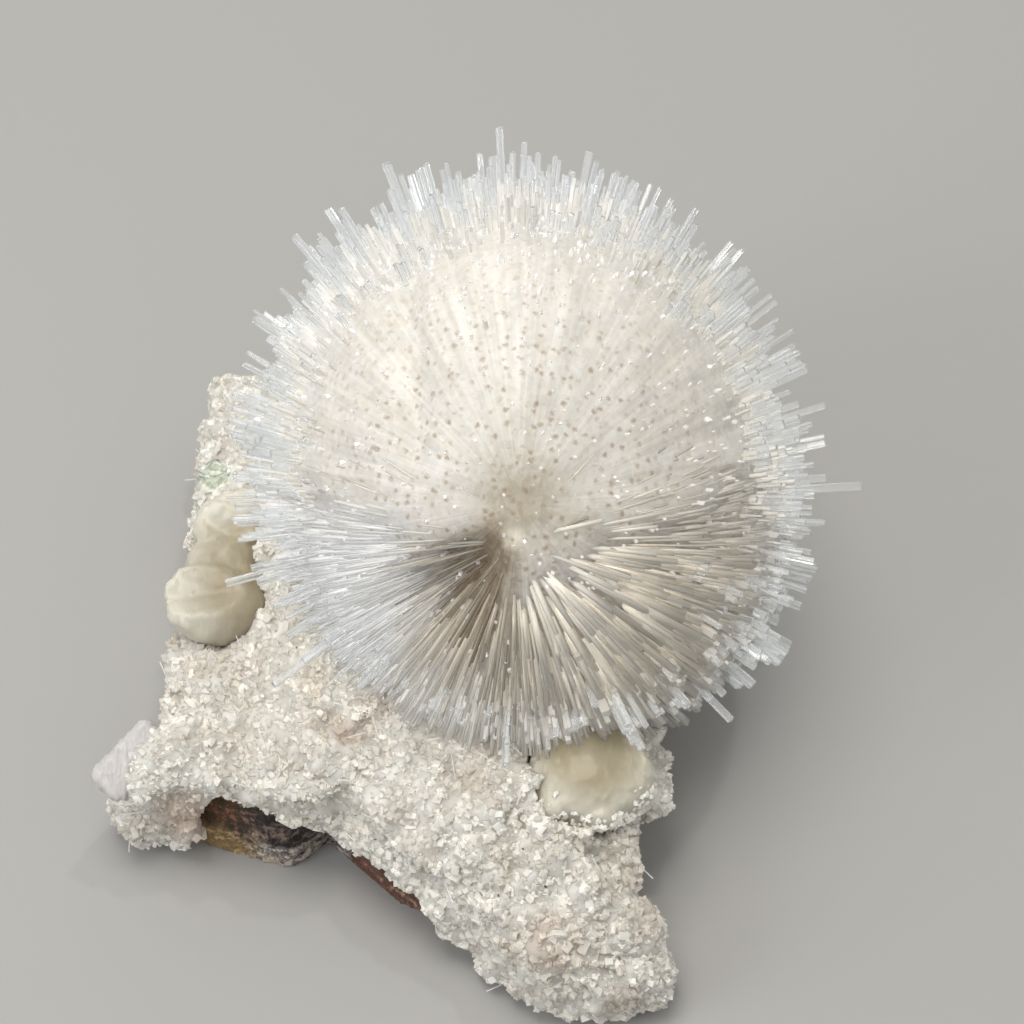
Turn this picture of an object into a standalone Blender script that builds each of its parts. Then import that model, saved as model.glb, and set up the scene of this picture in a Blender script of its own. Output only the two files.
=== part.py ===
"""Mesolite on mordenite: a loose mineral specimen, in metres, +Z up.

A ball of needle crystals grows from one point on a white mordenite crust. The crust drapes over
a piece of basalt, which was cut off flat where it rests. Stilbite and apophyllite sit in the crust.
The origin is on the flat underside, straight below the point that the needles grow from.
"""

import math
import random

import bmesh
import bpy
from mathutils import Euler, Matrix, Vector, noise

MM = 0.001
SPECIMEN = "mesolite_on_mordenite"
CUTTERS = "cutters"
GAP = 0.3 * MM

# The spray: needles from one point, longest towards the back and the top
SPRAY_CENTRE = Vector((0.0, 0.0, 20.0)) * MM
SPRAY_RADIUS = 23.0 * MM
LONG_SIDE = Vector((-0.350, 0.738, 0.577))
LONG_SIDE_GAIN = 4.4 * MM
SHORT_SIDE_LOSS = 0.8 * MM
LEFT_LOSS = 3.4 * MM
RIGHT_LOSS = 0.3 * MM
BODY_SHARE = 0.82
ROOT_RADIUS = 2.2 * MM
GRID_CUTS = 10
GRID_TURN = Euler((0.4, 0.3, 0.7))
GRID_JITTER = 0.03
TIP_REACH = (0.96, 1.11)
TIP_WIDTH = (0.30, 0.46)
PROUD_WIDTH = 0.66 * MM
# Lowest needles in degrees: they hang lower on the right and at the back, clear of the rock
LOWEST_NEEDLE = -7.0
LOWER_ON_RIGHT = 17.0
LOWER_AT_BACK = 5.0
ROOT_BLEND = (-5.0, 2.0)
CLEARANCE_BLEND = (-9.5, -3.0)
CLEARANCE_REACH = 31.0 * MM
ROOT_CLEARANCE = 1.5 * GAP
NO_LENGTH = 1e-6
GRID_SEED = 11
NEEDLE_SEED = 23
# Needles that stand proud of the rest: compass angle and elevation in degrees, length in mm
PROUD_NEEDLES = (
    (94.0, 38.0, 30.8),
    (76.0, 37.0, 29.3),
    (116.5, 35.0, 29.9),
    (129.5, 31.0, 28.8),
    (134.0, 23.0, 29.0),
    (146.0, 13.0, 27.1),
    (39.5, 26.0, 26.8),
    (14.5, 11.0, 26.2),
    (2.5, 2.0, 27.9),
    (-16.0, -12.0, 24.4),
    (-26.0, -18.0, 24.8),
    (-46.0, -13.0, 25.0),
    (195.0, -5.0, 24.8),
    (221.0, -3.0, 26.0),
    (60.0, 78.0, 26.6),
    (200.0, 62.0, 25.6),
    (88.0, -6.0, 27.2),
)

# The matrix, in mm: plan outlines from above, counter-clockwise
CRUST_OUTLINE = (
    (-26.3, 20.8),
    (-26.8, 10.0),
    (-26.4, 1.8),
    (-28.4, -8.2),
    (-29.0, -14.8),
    (-32.9, -17.4),
    (-31.6, -21.0),
    (-26.2, -20.4),
    (-18.5, -21.6),
    (-14.2, -22.2),
    (-9.8, -26.5),
    (-5.9, -29.0),
    (0.3, -34.9),
    (5.1, -36.8),
    (11.0, -35.4),
    (12.0, -33.4),
    (9.6, -29.2),
    (9.0, -23.8),
    (11.8, -20.4),
    (10.8, -15.0),
    (11.2, -4.0),
    (10.6, 6.0),
    (5.0, 15.5),
    (-6.0, 20.5),
    (-16.0, 22.6),
)
BASALT_OUTLINE = (
    (-24.0, 17.8),
    (-24.6, 2.0),
    (-27.0, -8.4),
    (-28.8, -14.0),
    (-29.8, -16.4),
    (-28.8, -17.9),
    (-25.6, -19.8),
    (-18.5, -21.9),
    (-15.2, -19.2),
    (-9.9, -25.9),
    (-6.2, -27.2),
    (0.9, -31.0),
    (5.2, -33.8),
    (9.4, -33.2),
    (7.8, -29.0),
    (7.3, -23.6),
    (9.7, -19.8),
    (8.9, -14.6),
    (9.2, -4.0),
    (8.6, 5.4),
    (3.6, 13.8),
    (-6.4, 18.6),
    (-15.6, 20.6),
)
# The crust's lower edge along the front, as places along X and heights: rock shows under it
FRONT_LIP = (
    (-40.0, 0.9),
    (-26.6, 0.9),
    (-25.8, 8.4),
    (-21.0, 8.5),
    (-17.0, 6.8),
    (-14.4, 4.8),
    (-11.0, 6.0),
    (-7.6, 5.4),
    (-5.0, 2.6),
    (-3.0, 0.9),
    (40.0, 0.9),
)
# Lips round the crust: heights, and the plan bands over which one passes into the next
BACK_LIP = 4.4
BACK_LIP_BAND = (6.0, 16.0)
SIDE_LIP = 1.6
SIDE_LIP_BAND = (-17.0, -11.0)
RIGHT_LIP = 6.5
RIGHT_LIP_BAND = (7.0, 9.0)
RIGHT_LIP_FRONT = (-28.0, -23.0)
HUMP_TOP = 17.7
ROOT_SWELL = 1.0
ROOT_SWELL_WIDTH = 4.0
SWELL_HEIGHT = 0.7
SWELL_SIZE = 9.0
SWELL_SLICE = 3.0
SWELL_BAND = (4.0, 20.0)
SHELTERED_RADIUS = 17.0
SHELTERED_INNER = 0.8 * SHELTERED_RADIUS
SHELTERED_SMOOTHING = 0.8
FALL_LEFT = 0.125
FALL_RIGHT = 0.15
FALL_RIGHT_MORE = 0.02
FALL_FRONT = 0.14
FALL_BACK = 0.10
TIP_START = 24.0
TIP_FALL = 0.22
CRUST_THICKNESS = 2.8
THICKNESS_BAND = (1.0, 7.0)
LUMP_SIZE = 3.4
LUMP_HEIGHT = 1.5
LUMPS_ABOVE = 2.2
CRUST_JITTER = 0.42
CRUST_JITTER_ABOVE = 1.8
CRUST_JITTER_SEED = 7
CRYSTAL_HEIGHT = (0.1, 1.1)
CRYSTALS_ABOVE = 1.6
CRYSTAL_SEED = 9
LOWEST_CRYSTAL_SLOPE = -0.25
MOST_SHELTER = 0.5
CRUST_CELL = 3.4
CRUST_LEVELS = (0.34, 0.68)
BASALT_CELL = 5.5
BASALT_LEVELS = (0.5,)
BASALT_JITTER = 0.8
BASALT_JITTER_ABOVE = 0.5
BASALT_JITTER_SEED = 5
ROOM_FLOOR = 0.1 * MM
ROOM_DEPTH = -2.0 * MM
RIM_WIDTH = 3.2
CRUST_RIM_DROP = 1.7
BASALT_RIM_DROP = 2.2
BASALT_MIDDLE = Vector((-8.0, -6.0))
BASALT_TAPER = 0.07
MERGE_SHARE = 0.26
PRISM_HEIGHT = 20.0
FIRST_SLICE = 0.6
LAST_SLICE = 0.3
ON_PLANE = 1e-7
SNAP = 0.001 * MM
SLIVER = 0.005 * MM

# Stilbite, the corner blade and the apophyllite, in mm
LEFT_SHEAF = (
    {"centre": (-24.3, -4.7, 13.3), "turn": (12, -62, 28), "size": (3.1, 4.2, 5.0), "ridges": 9},
    {"centre": (-23.5, -0.4, 12.9), "turn": (-2, -66, 45), "size": (2.6, 3.4, 4.2), "ridges": 6},
    {"centre": (-23.0, 3.2, 13.6), "turn": (-14, -70, 62), "size": (2.7, 3.3, 4.4), "ridges": 7},
)
FRONT_LUMP = (
    {"centre": (5.4, -20.9, 12.8), "turn": (105, 0, 4), "size": (5.4, 3.6, 5.0), "ridges": 9},
    {"centre": (2.6, -24.7, 12.9), "turn": (30, 10, 40), "size": (1.5, 1.4, 1.3), "ridges": 3},
    {"centre": (6.2, -25.2, 12.6), "turn": (34, -8, 10), "size": (1.5, 1.4, 1.3), "ridges": 3},
    {"centre": (9.4, -22.8, 12.2), "turn": (20, -18, 70), "size": (1.4, 1.3, 1.3), "ridges": 3},
)
RINGS_PER_RIDGE = 0.9
FEWEST_RINGS = 4
RIDGE_DEPTH = 0.07
FLARE = 0.16
BLADES = (
    {"centre": (-31.2, -17.6, 9.2), "turn": (24, -14, 46), "size": (6.6, 3.4, 1.5)},
    {"centre": (-30.6, -16.7, 8.4), "turn": (22, -14, 41), "size": (5.6, 3.6, 1.4)},
)
APOPHYLLITE = (
    {"centre": (-25.3, 7.6, 14.5), "turn": (28, -20, 40), "size": (2.3, 2.1, 2.4)},
)
BOX_BEVEL = 0.35

SRGB_COLOURS = {
    "mesolite_spray": (233, 230, 220),
    "mordenite_crust": (214, 209, 196),
    "basalt_matrix": (105, 94, 84),
    "stilbite_sheaf_left": (202, 196, 176),
    "stilbite_lump_front": (188, 179, 152),
    "stilbite_blade_corner": (209, 204, 195),
    "apophyllite_crystal": (184, 204, 192),
}
ROUGHNESS = {
    "mesolite_spray": 0.25,
    "mordenite_crust": 0.60,
    "basalt_matrix": 0.85,
    "stilbite_sheaf_left": 0.35,
    "stilbite_lump_front": 0.35,
    "stilbite_blade_corner": 0.30,
    "apophyllite_crystal": 0.15,
}


def clear_scene():
    for item in list(bpy.data.objects):
        bpy.data.objects.remove(item, do_unlink=True)


def make_collection(name):
    collection = bpy.data.collections.new(name)
    bpy.context.scene.collection.children.link(collection)
    return collection


def linear(channel):
    """One sRGB channel, 0 to 255, as the linear value that a shader takes."""
    c = channel / 255
    return c / 12.92 if c <= 0.04045 else ((c + 0.055) / 1.055) ** 2.4


def make_material(name):
    material = bpy.data.materials.new(name)
    material.use_nodes = True
    shader = material.node_tree.nodes["Principled BSDF"]
    shader.inputs["Base Color"].default_value = (*map(linear, SRGB_COLOURS[name]), 1.0)
    shader.inputs["Roughness"].default_value = ROUGHNESS[name]
    shader.inputs["Metallic"].default_value = 0.0
    return material


def triangulate(bm):
    bmesh.ops.triangulate(bm, faces=bm.faces[:], quad_method="SHORT_EDGE", ngon_method="BEAUTY")


def mesh_from(bm, name):
    mesh = bpy.data.meshes.new(name)
    bm.to_mesh(mesh)
    bm.free()
    return mesh


def add_part(name, mesh, collection):
    part = bpy.data.objects.new(name, mesh)
    mesh.materials.clear()
    mesh.materials.append(make_material(name))
    collection.objects.link(part)
    return part


def add_cutter(name, mesh, collection):
    cutter = bpy.data.objects.new(name, mesh)
    cutter.hide_render = True
    cutter.display_type = "WIRE"
    collection.objects.link(cutter)
    return cutter


def evaluated_mesh(item):
    depsgraph = bpy.context.evaluated_depsgraph_get()
    return bpy.data.meshes.new_from_object(item.evaluated_get(depsgraph))


def carve(part, cutters):
    """Cut each cutter out of a part, and drop any crumb that a cut leaves loose."""
    for cutter in cutters:
        modifier = part.modifiers.new("less_" + cutter.name, "BOOLEAN")
        modifier.operation = "DIFFERENCE"
        modifier.object = cutter
    bm = bmesh.new()
    bm.from_mesh(evaluated_mesh(part))
    bodies = sorted(separate_bodies(bm), key=len)
    crumbs = [face for body in bodies[:-1] for face in body]
    bmesh.ops.delete(bm, geom=crumbs, context="FACES")
    triangulate(bm)
    bmesh.ops.dissolve_degenerate(bm, dist=SLIVER, edges=bm.edges[:])
    triangulate(bm)
    part.modifiers.clear()
    bm.to_mesh(part.data)
    bm.free()


def separate_bodies(bm):
    """The faces of a mesh in groups, each joined along its edges."""
    waiting = set(bm.faces)
    bodies = []
    while waiting:
        body = [waiting.pop()]
        for face in body:
            beside = {other for edge in face.edges for other in edge.link_faces} & waiting
            waiting -= beside
            body.extend(beside)
        bodies.append(body)
    return bodies


def joined(meshes, name):
    """One mesh: the Boolean union of the meshes given."""
    scene = bpy.context.scene
    pieces = [bpy.data.objects.new(name, mesh) for mesh in meshes]
    for piece in pieces:
        scene.collection.objects.link(piece)
    for other in pieces[1:]:
        modifier = pieces[0].modifiers.new("union", "BOOLEAN")
        modifier.operation = "UNION"
        modifier.object = other
    bm = bmesh.new()
    bm.from_mesh(evaluated_mesh(pieces[0]))
    triangulate(bm)
    for piece in pieces:
        bpy.data.objects.remove(piece, do_unlink=True)
    return mesh_from(bm, name)


def smoothstep(low, high, value):
    t = min(max((value - low) / (high - low), 0.0), 1.0)
    return t * t * (3 - 2 * t)


def between(pairs, x):
    """Height at x along a profile of (place, height) pairs."""
    for (x0, z0), (x1, z1) in zip(pairs, pairs[1:]):
        if x <= x1:
            return z0 + (z1 - z0) * max(x - x0, 0.0) / (x1 - x0)
    return pairs[-1][1]


# Spray


def dense_radius(direction):
    """How far the packed needles reach in a direction."""
    lean = direction.dot(LONG_SIDE)
    gain = LONG_SIDE_GAIN * max(lean, 0.0) - SHORT_SIDE_LOSS * max(-lean, 0.0)
    side = LEFT_LOSS * max(-direction.x, 0.0) + RIGHT_LOSS * max(direction.x, 0.0)
    return SPRAY_RADIUS + gain - side


def degrees_above_lowest(direction):
    """Angle of a direction above the lowest needles on that side."""
    level = math.hypot(direction.x, direction.y)
    right = max(direction.x, 0.0) / max(level, NO_LENGTH)
    back = max(direction.y, 0.0) / max(level, NO_LENGTH)
    lowest = LOWEST_NEEDLE - LOWER_ON_RIGHT * right * right - LOWER_AT_BACK * back
    return math.degrees(math.atan2(direction.z, level)) - lowest


def body_radius(direction):
    """The packed body under the free needle ends, drawn in to a root below the lowest needles."""
    share = smoothstep(*ROOT_BLEND, degrees_above_lowest(direction))
    return ROOT_RADIUS + share * (BODY_SHARE * dense_radius(direction) - ROOT_RADIUS)


def clearance_radius(direction):
    """The room that the spray takes up, free needle ends and a gap included."""
    share = smoothstep(*CLEARANCE_BLEND, degrees_above_lowest(direction))
    root = ROOT_RADIUS + ROOT_CLEARANCE
    return root + share * (CLEARANCE_REACH - root)


def star(radius_in):
    """A grid of square cells on a ball, each corner at the radius that its direction asks for."""
    draw = random.Random(GRID_SEED)
    turn = GRID_TURN.to_matrix()
    bm = bmesh.new()
    bmesh.ops.create_cube(bm, size=2.0)
    bmesh.ops.subdivide_edges(bm, edges=bm.edges[:], cuts=GRID_CUTS, use_grid_fill=True)
    for vert in bm.verts:
        even = Vector([math.tan(part * math.pi / 4) for part in vert.co])
        stray = Vector([draw.uniform(-1, 1) for _ in range(3)]) * GRID_JITTER
        direction = (turn @ (even.normalized() + stray)).normalized()
        vert.co = direction * radius_in(direction)
    return bm


def raise_needle(face, tip, width):
    """Draw a face out to a needle whose end is centred on a point."""
    centre = face.calc_center_median()
    for vert in face.verts:
        vert.co = tip + (vert.co - centre) * width


def spray_mesh():
    draw = random.Random(NEEDLE_SEED)
    bm = star(body_radius)
    bm.normal_update()
    free = [f for f in bm.faces if min(degrees_above_lowest(v.co) for v in f.verts) > 0.0]
    needles = bmesh.ops.extrude_discrete_faces(bm, faces=free)["faces"]
    for face in needles:
        direction = face.calc_center_median().normalized()
        reach = dense_radius(direction) * draw.uniform(*TIP_REACH)
        raise_needle(face, direction * reach, draw.uniform(*TIP_WIDTH))
    raised = {}
    for compass, elevation, length in PROUD_NEEDLES:
        turn = Euler((0, -math.radians(elevation), math.radians(compass)))
        direction = turn.to_matrix() @ Vector((1, 0, 0))
        nearest = max(
            (f for f in needles if f not in raised),
            key=lambda f: f.calc_center_median().normalized().dot(direction),
        )
        raised[nearest] = direction * length * MM
    for face, tip in raised.items():
        raise_needle(face, tip, 1.0)
        wide = max((v.co - tip).length for v in face.verts)
        raise_needle(face, tip, min(1.0, PROUD_WIDTH / wide))
    bmesh.ops.translate(bm, verts=bm.verts[:], vec=SPRAY_CENTRE)
    return mesh_from(bm, "mesolite_spray")


def spray_clearance_mesh():
    bm = star(clearance_radius)
    bmesh.ops.translate(bm, verts=bm.verts[:], vec=SPRAY_CENTRE)
    return mesh_from(bm, "spray_clearance")


# Matrix


def crust_top(x, y):
    """Height of the crust's upper side in mm: a hump under the spray that falls away all round."""
    left = FALL_LEFT * max(-x, 0.0)
    right = FALL_RIGHT * max(x, 0.0) + FALL_RIGHT_MORE * max(x, 0.0) ** 2
    front = FALL_FRONT * max(-y, 0.0) + TIP_FALL * max(-y - TIP_START, 0.0)
    back = FALL_BACK * max(y, 0.0)
    swell = SWELL_HEIGHT * noise.noise(Vector((x, y, SWELL_SLICE)) / SWELL_SIZE)
    swell *= smoothstep(*SWELL_BAND, math.hypot(x, y))
    root = ROOT_SWELL * math.exp(-(x * x + y * y) / ROOT_SWELL_WIDTH**2)
    return HUMP_TOP - left - right - front - back + swell + root


def crust_bottom(x, y):
    """Height of the crust's lower edge in mm: it hangs lowest at the front tip and corner."""
    front = between(FRONT_LIP, x)
    side = front + (SIDE_LIP - front) * smoothstep(*SIDE_LIP_BAND, y)
    on_right = smoothstep(*RIGHT_LIP_BAND, x) * smoothstep(*RIGHT_LIP_FRONT, y)
    right = side + (RIGHT_LIP - side) * on_right
    return right + (BACK_LIP - right) * smoothstep(*BACK_LIP_BAND, y)


def edge_distance(x, y, outline):
    """Distance in mm from a plan point to the outline."""
    point = Vector((x, y))
    nearest = math.inf
    for start, end in zip(outline, outline[1:] + outline[:1]):
        a = Vector(start)
        side = Vector(end) - a
        share = min(max((point - a).dot(side) / side.length_squared, 0.0), 1.0)
        nearest = min(nearest, (point - a - side * share).length)
    return nearest


def sliced_prism(outline, cell, levels):
    """A prism over a plan outline, sliced into cells on every side."""
    bm = bmesh.new()
    floor = bm.faces.new([bm.verts.new((x * MM, y * MM, 0.0)) for x, y in outline])
    raised = bmesh.ops.extrude_face_region(bm, geom=[floor])["geom"]
    top = [item for item in raised if isinstance(item, bmesh.types.BMVert)]
    bmesh.ops.translate(bm, verts=top, vec=(0, 0, PRISM_HEIGHT * MM))
    for axis in range(2):
        places = [point[axis] for point in outline]
        place = min(places) + FIRST_SLICE * cell
        while place < max(places) - LAST_SLICE * cell:
            slice_at(bm, axis, place * MM)
            place += cell
    for level in levels:
        slice_at(bm, 2, level * PRISM_HEIGHT * MM)
    for vert in bm.verts:
        vert.co = [round(part / SNAP) * SNAP for part in vert.co]
    place_of = {vert: place for place, vert in enumerate(sorted(bm.verts, key=place_key))}
    bm.verts.sort(key=place_of.get)
    bmesh.ops.remove_doubles(bm, verts=bm.verts[:], dist=MERGE_SHARE * cell * MM)
    bmesh.ops.recalc_face_normals(bm, faces=bm.faces[:])
    return bm


def place_key(vert):
    return tuple(vert.co)


def slice_at(bm, axis, place):
    """Cut every face along the plane at a place on an axis."""
    normal = Vector((0, 0, 0))
    normal[axis] = 1.0
    everything = bm.verts[:] + bm.edges[:] + bm.faces[:]
    bmesh.ops.bisect_plane(
        bm,
        geom=everything,
        dist=ON_PLANE,
        plane_co=normal * place,
        plane_no=normal,
    )


def taper(bm):
    """Draw the rock's upper side in, so that its flanks lean out towards the foot."""
    top = max(vert.co.z for vert in bm.verts)
    for vert in bm.verts:
        vert.co.xy += (BASALT_MIDDLE * MM - vert.co.xy) * BASALT_TAPER * vert.co.z / top


def shape_slab(bm, outline, bottom, top, rim_drop):
    """Stretch a sliced prism between two height fields and round its upper rim."""
    for vert in bm.verts:
        x, y, height = vert.co / MM
        near = max(1.0 - edge_distance(x, y, outline) / RIM_WIDTH, 0.0)
        low = bottom(x, y)
        high = top(x, y) - rim_drop * near * near
        vert.co.z = (low + (high - low) * height / PRISM_HEIGHT) * MM


def jitter_level(bm, amount, low_limit, seed):
    """Shift the vertices above a height a little, so that no row of cells stays straight."""
    draw = random.Random(seed)
    for vert in sorted(bm.verts, key=place_key):
        shift = Vector([draw.uniform(-1, 1) for _ in range(3)]) * amount * MM
        if vert.co.z > low_limit * MM:
            vert.co += shift * thickness_share(vert.co)


def thickness_share(point):
    """How freely the crust's surface may move: little where the crust is a thin lip."""
    x, y = point.xy / MM
    return smoothstep(*THICKNESS_BAND, crust_top(x, y) - crust_bottom(x, y))


def swell_lumps(bm, size, height, low_limit):
    """Push the surface in and out along its normals in rounded lumps."""
    bm.normal_update()
    for vert in bm.verts:
        if vert.co.z > low_limit * MM:
            lump = noise.noise(vert.co / (size * MM))
            lump *= 1.0 - SHELTERED_SMOOTHING * sheltered(vert.co)
            vert.co += vert.normal * lump * height * MM * thickness_share(vert.co)


def sheltered(point):
    """1 close under the spray, where nothing has grown, and 0 beyond its reach."""
    return 1.0 - smoothstep(SHELTERED_INNER, SHELTERED_RADIUS, point.xy.length / MM)


def raise_crystals(bm, height, low_limit, seed):
    """Draw each cell of the upper side and the flanks out to a blunt crystal with flat faces."""
    draw = random.Random(seed)
    bm.normal_update()
    rises = {}
    for face in sorted(bm.faces, key=lambda f: tuple(f.calc_center_median())):
        centre = face.calc_center_median()
        rise = draw.uniform(*height) * MM * thickness_share(centre)
        outside = face.normal.z > LOWEST_CRYSTAL_SLOPE
        if outside and centre.z > low_limit * MM and sheltered(centre) < MOST_SHELTER:
            rises[face] = face.normal * rise
    order = list(rises)
    points = bmesh.ops.poke(bm, faces=order, center_mode="MEAN")["verts"]
    for point, face_rise in zip(points, rises.values()):
        point.co += face_rise


def basalt_bmesh(grow):
    """The rock, or its shape grown by a margin, which makes room for it in the crust."""
    bm = sliced_prism(BASALT_OUTLINE, BASALT_CELL, BASALT_LEVELS)
    shape_slab(
        bm,
        BASALT_OUTLINE,
        lambda x, y: 0.0,
        lambda x, y: crust_top(x, y) - CRUST_THICKNESS,
        BASALT_RIM_DROP,
    )
    taper(bm)
    jitter_level(bm, BASALT_JITTER, BASALT_JITTER_ABOVE, BASALT_JITTER_SEED)
    triangulate(bm)
    if grow:
        bm.normal_update()
        shifts = {vert: vert.normal * vert.calc_shell_factor() * grow for vert in bm.verts}
        for vert, shift in shifts.items():
            vert.co += shift
            if vert.co.z < ROOM_FLOOR:
                vert.co.z = ROOM_DEPTH
    return bm


def crust_mesh():
    bm = sliced_prism(CRUST_OUTLINE, CRUST_CELL, CRUST_LEVELS)
    shape_slab(bm, CRUST_OUTLINE, crust_bottom, crust_top, CRUST_RIM_DROP)
    swell_lumps(bm, LUMP_SIZE, LUMP_HEIGHT, LUMPS_ABOVE)
    jitter_level(bm, CRUST_JITTER, CRUST_JITTER_ABOVE, CRUST_JITTER_SEED)
    raise_crystals(bm, CRYSTAL_HEIGHT, CRYSTALS_ABOVE, CRYSTAL_SEED)
    triangulate(bm)
    return mesh_from(bm, "mordenite_crust")


# Stilbite and apophyllite


def placed(spec):
    turn = Euler([math.radians(angle) for angle in spec["turn"]]).to_matrix().to_4x4()
    return Matrix.Translation(Vector(spec["centre"]) * MM) @ turn


def fan_lobe(spec, grow, name):
    """A rounded sheaf of blades: ridges run along it from one pole, and it flares at the other."""
    rings = max(FEWEST_RINGS, round(spec["ridges"] * RINGS_PER_RIDGE))
    bm = bmesh.new()
    bmesh.ops.create_uvsphere(bm, u_segments=2 * spec["ridges"], v_segments=rings, radius=1.0)
    size = [part * MM + grow for part in spec["size"]]
    for vert in bm.verts:
        x, y, z = vert.co
        ridge = math.cos(math.atan2(y, x) * spec["ridges"])
        wide = (1.0 - RIDGE_DEPTH + RIDGE_DEPTH * ridge) * (1.0 + FLARE * z)
        vert.co = (x * wide * size[0], y * wide * size[1], z * size[2])
    bmesh.ops.transform(bm, matrix=placed(spec), verts=bm.verts[:])
    return mesh_from(bm, name)


def bevelled_box(spec, grow, name):
    """A flat-faced crystal with its edges cut off."""
    bm = bmesh.new()
    bmesh.ops.create_cube(bm, size=1.0)
    size = [part * MM + 2 * grow for part in spec["size"]]
    bmesh.ops.scale(bm, vec=size, verts=bm.verts[:])
    bmesh.ops.bevel(
        bm,
        geom=bm.edges[:],
        offset=BOX_BEVEL * MM,
        segments=1,
        profile=0.5,
        affect="EDGES",
        material=-1,
    )
    bmesh.ops.transform(bm, matrix=placed(spec), verts=bm.verts[:])
    return mesh_from(bm, name)


def crystal_mesh(spec, grow, name):
    if "ridges" in spec:
        return fan_lobe(spec, grow, name)
    return bevelled_box(spec, grow, name)


def cluster_mesh(specs, name):
    """The sheaves or boxes of one aggregate, grown together."""
    return joined([crystal_mesh(spec, 0.0, name) for spec in specs], name)


def room_mesh(specs, name):
    """Room for an aggregate: the hull round its crystals, larger by the gap."""
    bm = bmesh.new()
    for spec in specs:
        bm.from_mesh(crystal_mesh(spec, GAP, name))
    points = [bm.verts.new(vert.co) for vert in bm.verts[:]]
    bmesh.ops.delete(bm, geom=list(set(bm.verts) - set(points)), context="VERTS")
    bmesh.ops.convex_hull(bm, input=bm.verts[:])
    inside = [vert for vert in bm.verts if not vert.link_faces]
    bmesh.ops.delete(bm, geom=inside, context="VERTS")
    return mesh_from(bm, name)


def main():
    clear_scene()
    parts = make_collection(SPECIMEN)
    cutters = make_collection(CUTTERS)

    clearance = add_cutter("spray_clearance", spray_clearance_mesh(), cutters)
    rock_room = add_cutter("rock_room", mesh_from(basalt_bmesh(GAP), "rock_room"), cutters)
    clusters = {
        "stilbite_sheaf_left": LEFT_SHEAF,
        "stilbite_lump_front": FRONT_LUMP,
        "stilbite_blade_corner": BLADES,
        "apophyllite_crystal": APOPHYLLITE,
    }
    rooms = []
    for name, specs in clusters.items():
        carve(add_part(name, cluster_mesh(specs, name), parts), [clearance])
        room_name = name + "_room"
        rooms.append(add_cutter(room_name, room_mesh(specs, room_name), cutters))

    add_part("mesolite_spray", spray_mesh(), parts)
    rock = add_part("basalt_matrix", mesh_from(basalt_bmesh(0.0), "basalt_matrix"), parts)
    carve(rock, rooms)
    crust = add_part("mordenite_crust", crust_mesh(), parts)
    carve(crust, [rock_room, clearance] + rooms)


main()
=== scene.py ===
"""Mesolite on mordenite: the looks of the specimen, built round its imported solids.

Lengths are in mm, and boxed turns them to metres. The needles' root is the origin of the
spray. Places read off the photo are across and up in the photo's plane: on the ball as shares
of its radius, elsewhere in mm from the root.
"""

import math
import random
from functools import partial

import bmesh
import bpy
import numpy as np
from mathutils import Euler, Matrix, Vector, noise
from mathutils.bvhtree import BVHTree


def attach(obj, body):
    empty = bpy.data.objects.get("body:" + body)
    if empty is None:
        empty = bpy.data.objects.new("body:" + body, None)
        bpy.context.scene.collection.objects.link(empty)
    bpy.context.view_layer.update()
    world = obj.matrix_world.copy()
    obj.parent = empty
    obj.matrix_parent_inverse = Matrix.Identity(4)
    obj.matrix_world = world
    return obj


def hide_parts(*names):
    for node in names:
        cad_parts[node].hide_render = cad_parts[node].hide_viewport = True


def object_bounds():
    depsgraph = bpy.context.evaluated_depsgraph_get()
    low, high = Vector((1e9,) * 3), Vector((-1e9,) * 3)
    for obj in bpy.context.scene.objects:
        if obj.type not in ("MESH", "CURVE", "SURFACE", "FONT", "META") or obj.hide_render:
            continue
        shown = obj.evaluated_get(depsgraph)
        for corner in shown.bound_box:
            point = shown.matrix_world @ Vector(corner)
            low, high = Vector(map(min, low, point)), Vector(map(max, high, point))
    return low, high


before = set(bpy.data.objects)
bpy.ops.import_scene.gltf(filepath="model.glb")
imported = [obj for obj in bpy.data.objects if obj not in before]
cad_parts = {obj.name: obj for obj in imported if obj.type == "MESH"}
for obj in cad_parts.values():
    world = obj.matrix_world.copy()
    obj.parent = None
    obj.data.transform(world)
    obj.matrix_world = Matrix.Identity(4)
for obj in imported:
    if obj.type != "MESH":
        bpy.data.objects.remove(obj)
CAD_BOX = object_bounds()
BODY = "root"
MM = 0.001
MERGE = 1e-6

# The photo's frame and view: 52 degrees down, long lens
IMAGE_WIDTH = 1024
VIEW_ELEVATION = 52.0
MM_PER_PIXEL = 0.0806
ROOT_PIXEL = (520, 505)
CAMERA_DISTANCE = 350.0
SENSOR_WIDTH = 36.0
CLIP_START = 10.0

# The studio. Each light: its place, width, power in watts and colour
FLOOR_REACH = 3000.0
WORLD_STRENGTH = 0.56
LIGHTS = {
    "key": ((-70, 10, 420), 230, 0.74, "#FFFAF2"),
    "sparkle": ((60, 120, 400), 24, 0.14, "#FFFFFF"),
    "fill": ((-300, -160, 200), 200, 0.35, "#F5F8FF"),
}

# The spray, as its solid is sized
SPRAY_CENTRE = np.array((0.0, 0.0, 20.0))
SPRAY_RADIUS = 23.0
LONG_SIDE = np.array((-0.350, 0.738, 0.577))
LONG_SIDE_GAIN = 4.4
SHORT_SIDE_LOSS = 0.8
LEFT_LOSS = 3.4
RIGHT_LOSS = 0.3
LOWEST_NEEDLE = -7.0
LOWER_ON_RIGHT = 17.0
LOWER_AT_BACK = 5.0
ROOT_BLEND = (-5.0, 2.0)
ROOT_RADIUS = 2.2
SPOT_TURN = (1.2, 0.3, 0.7)

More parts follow.
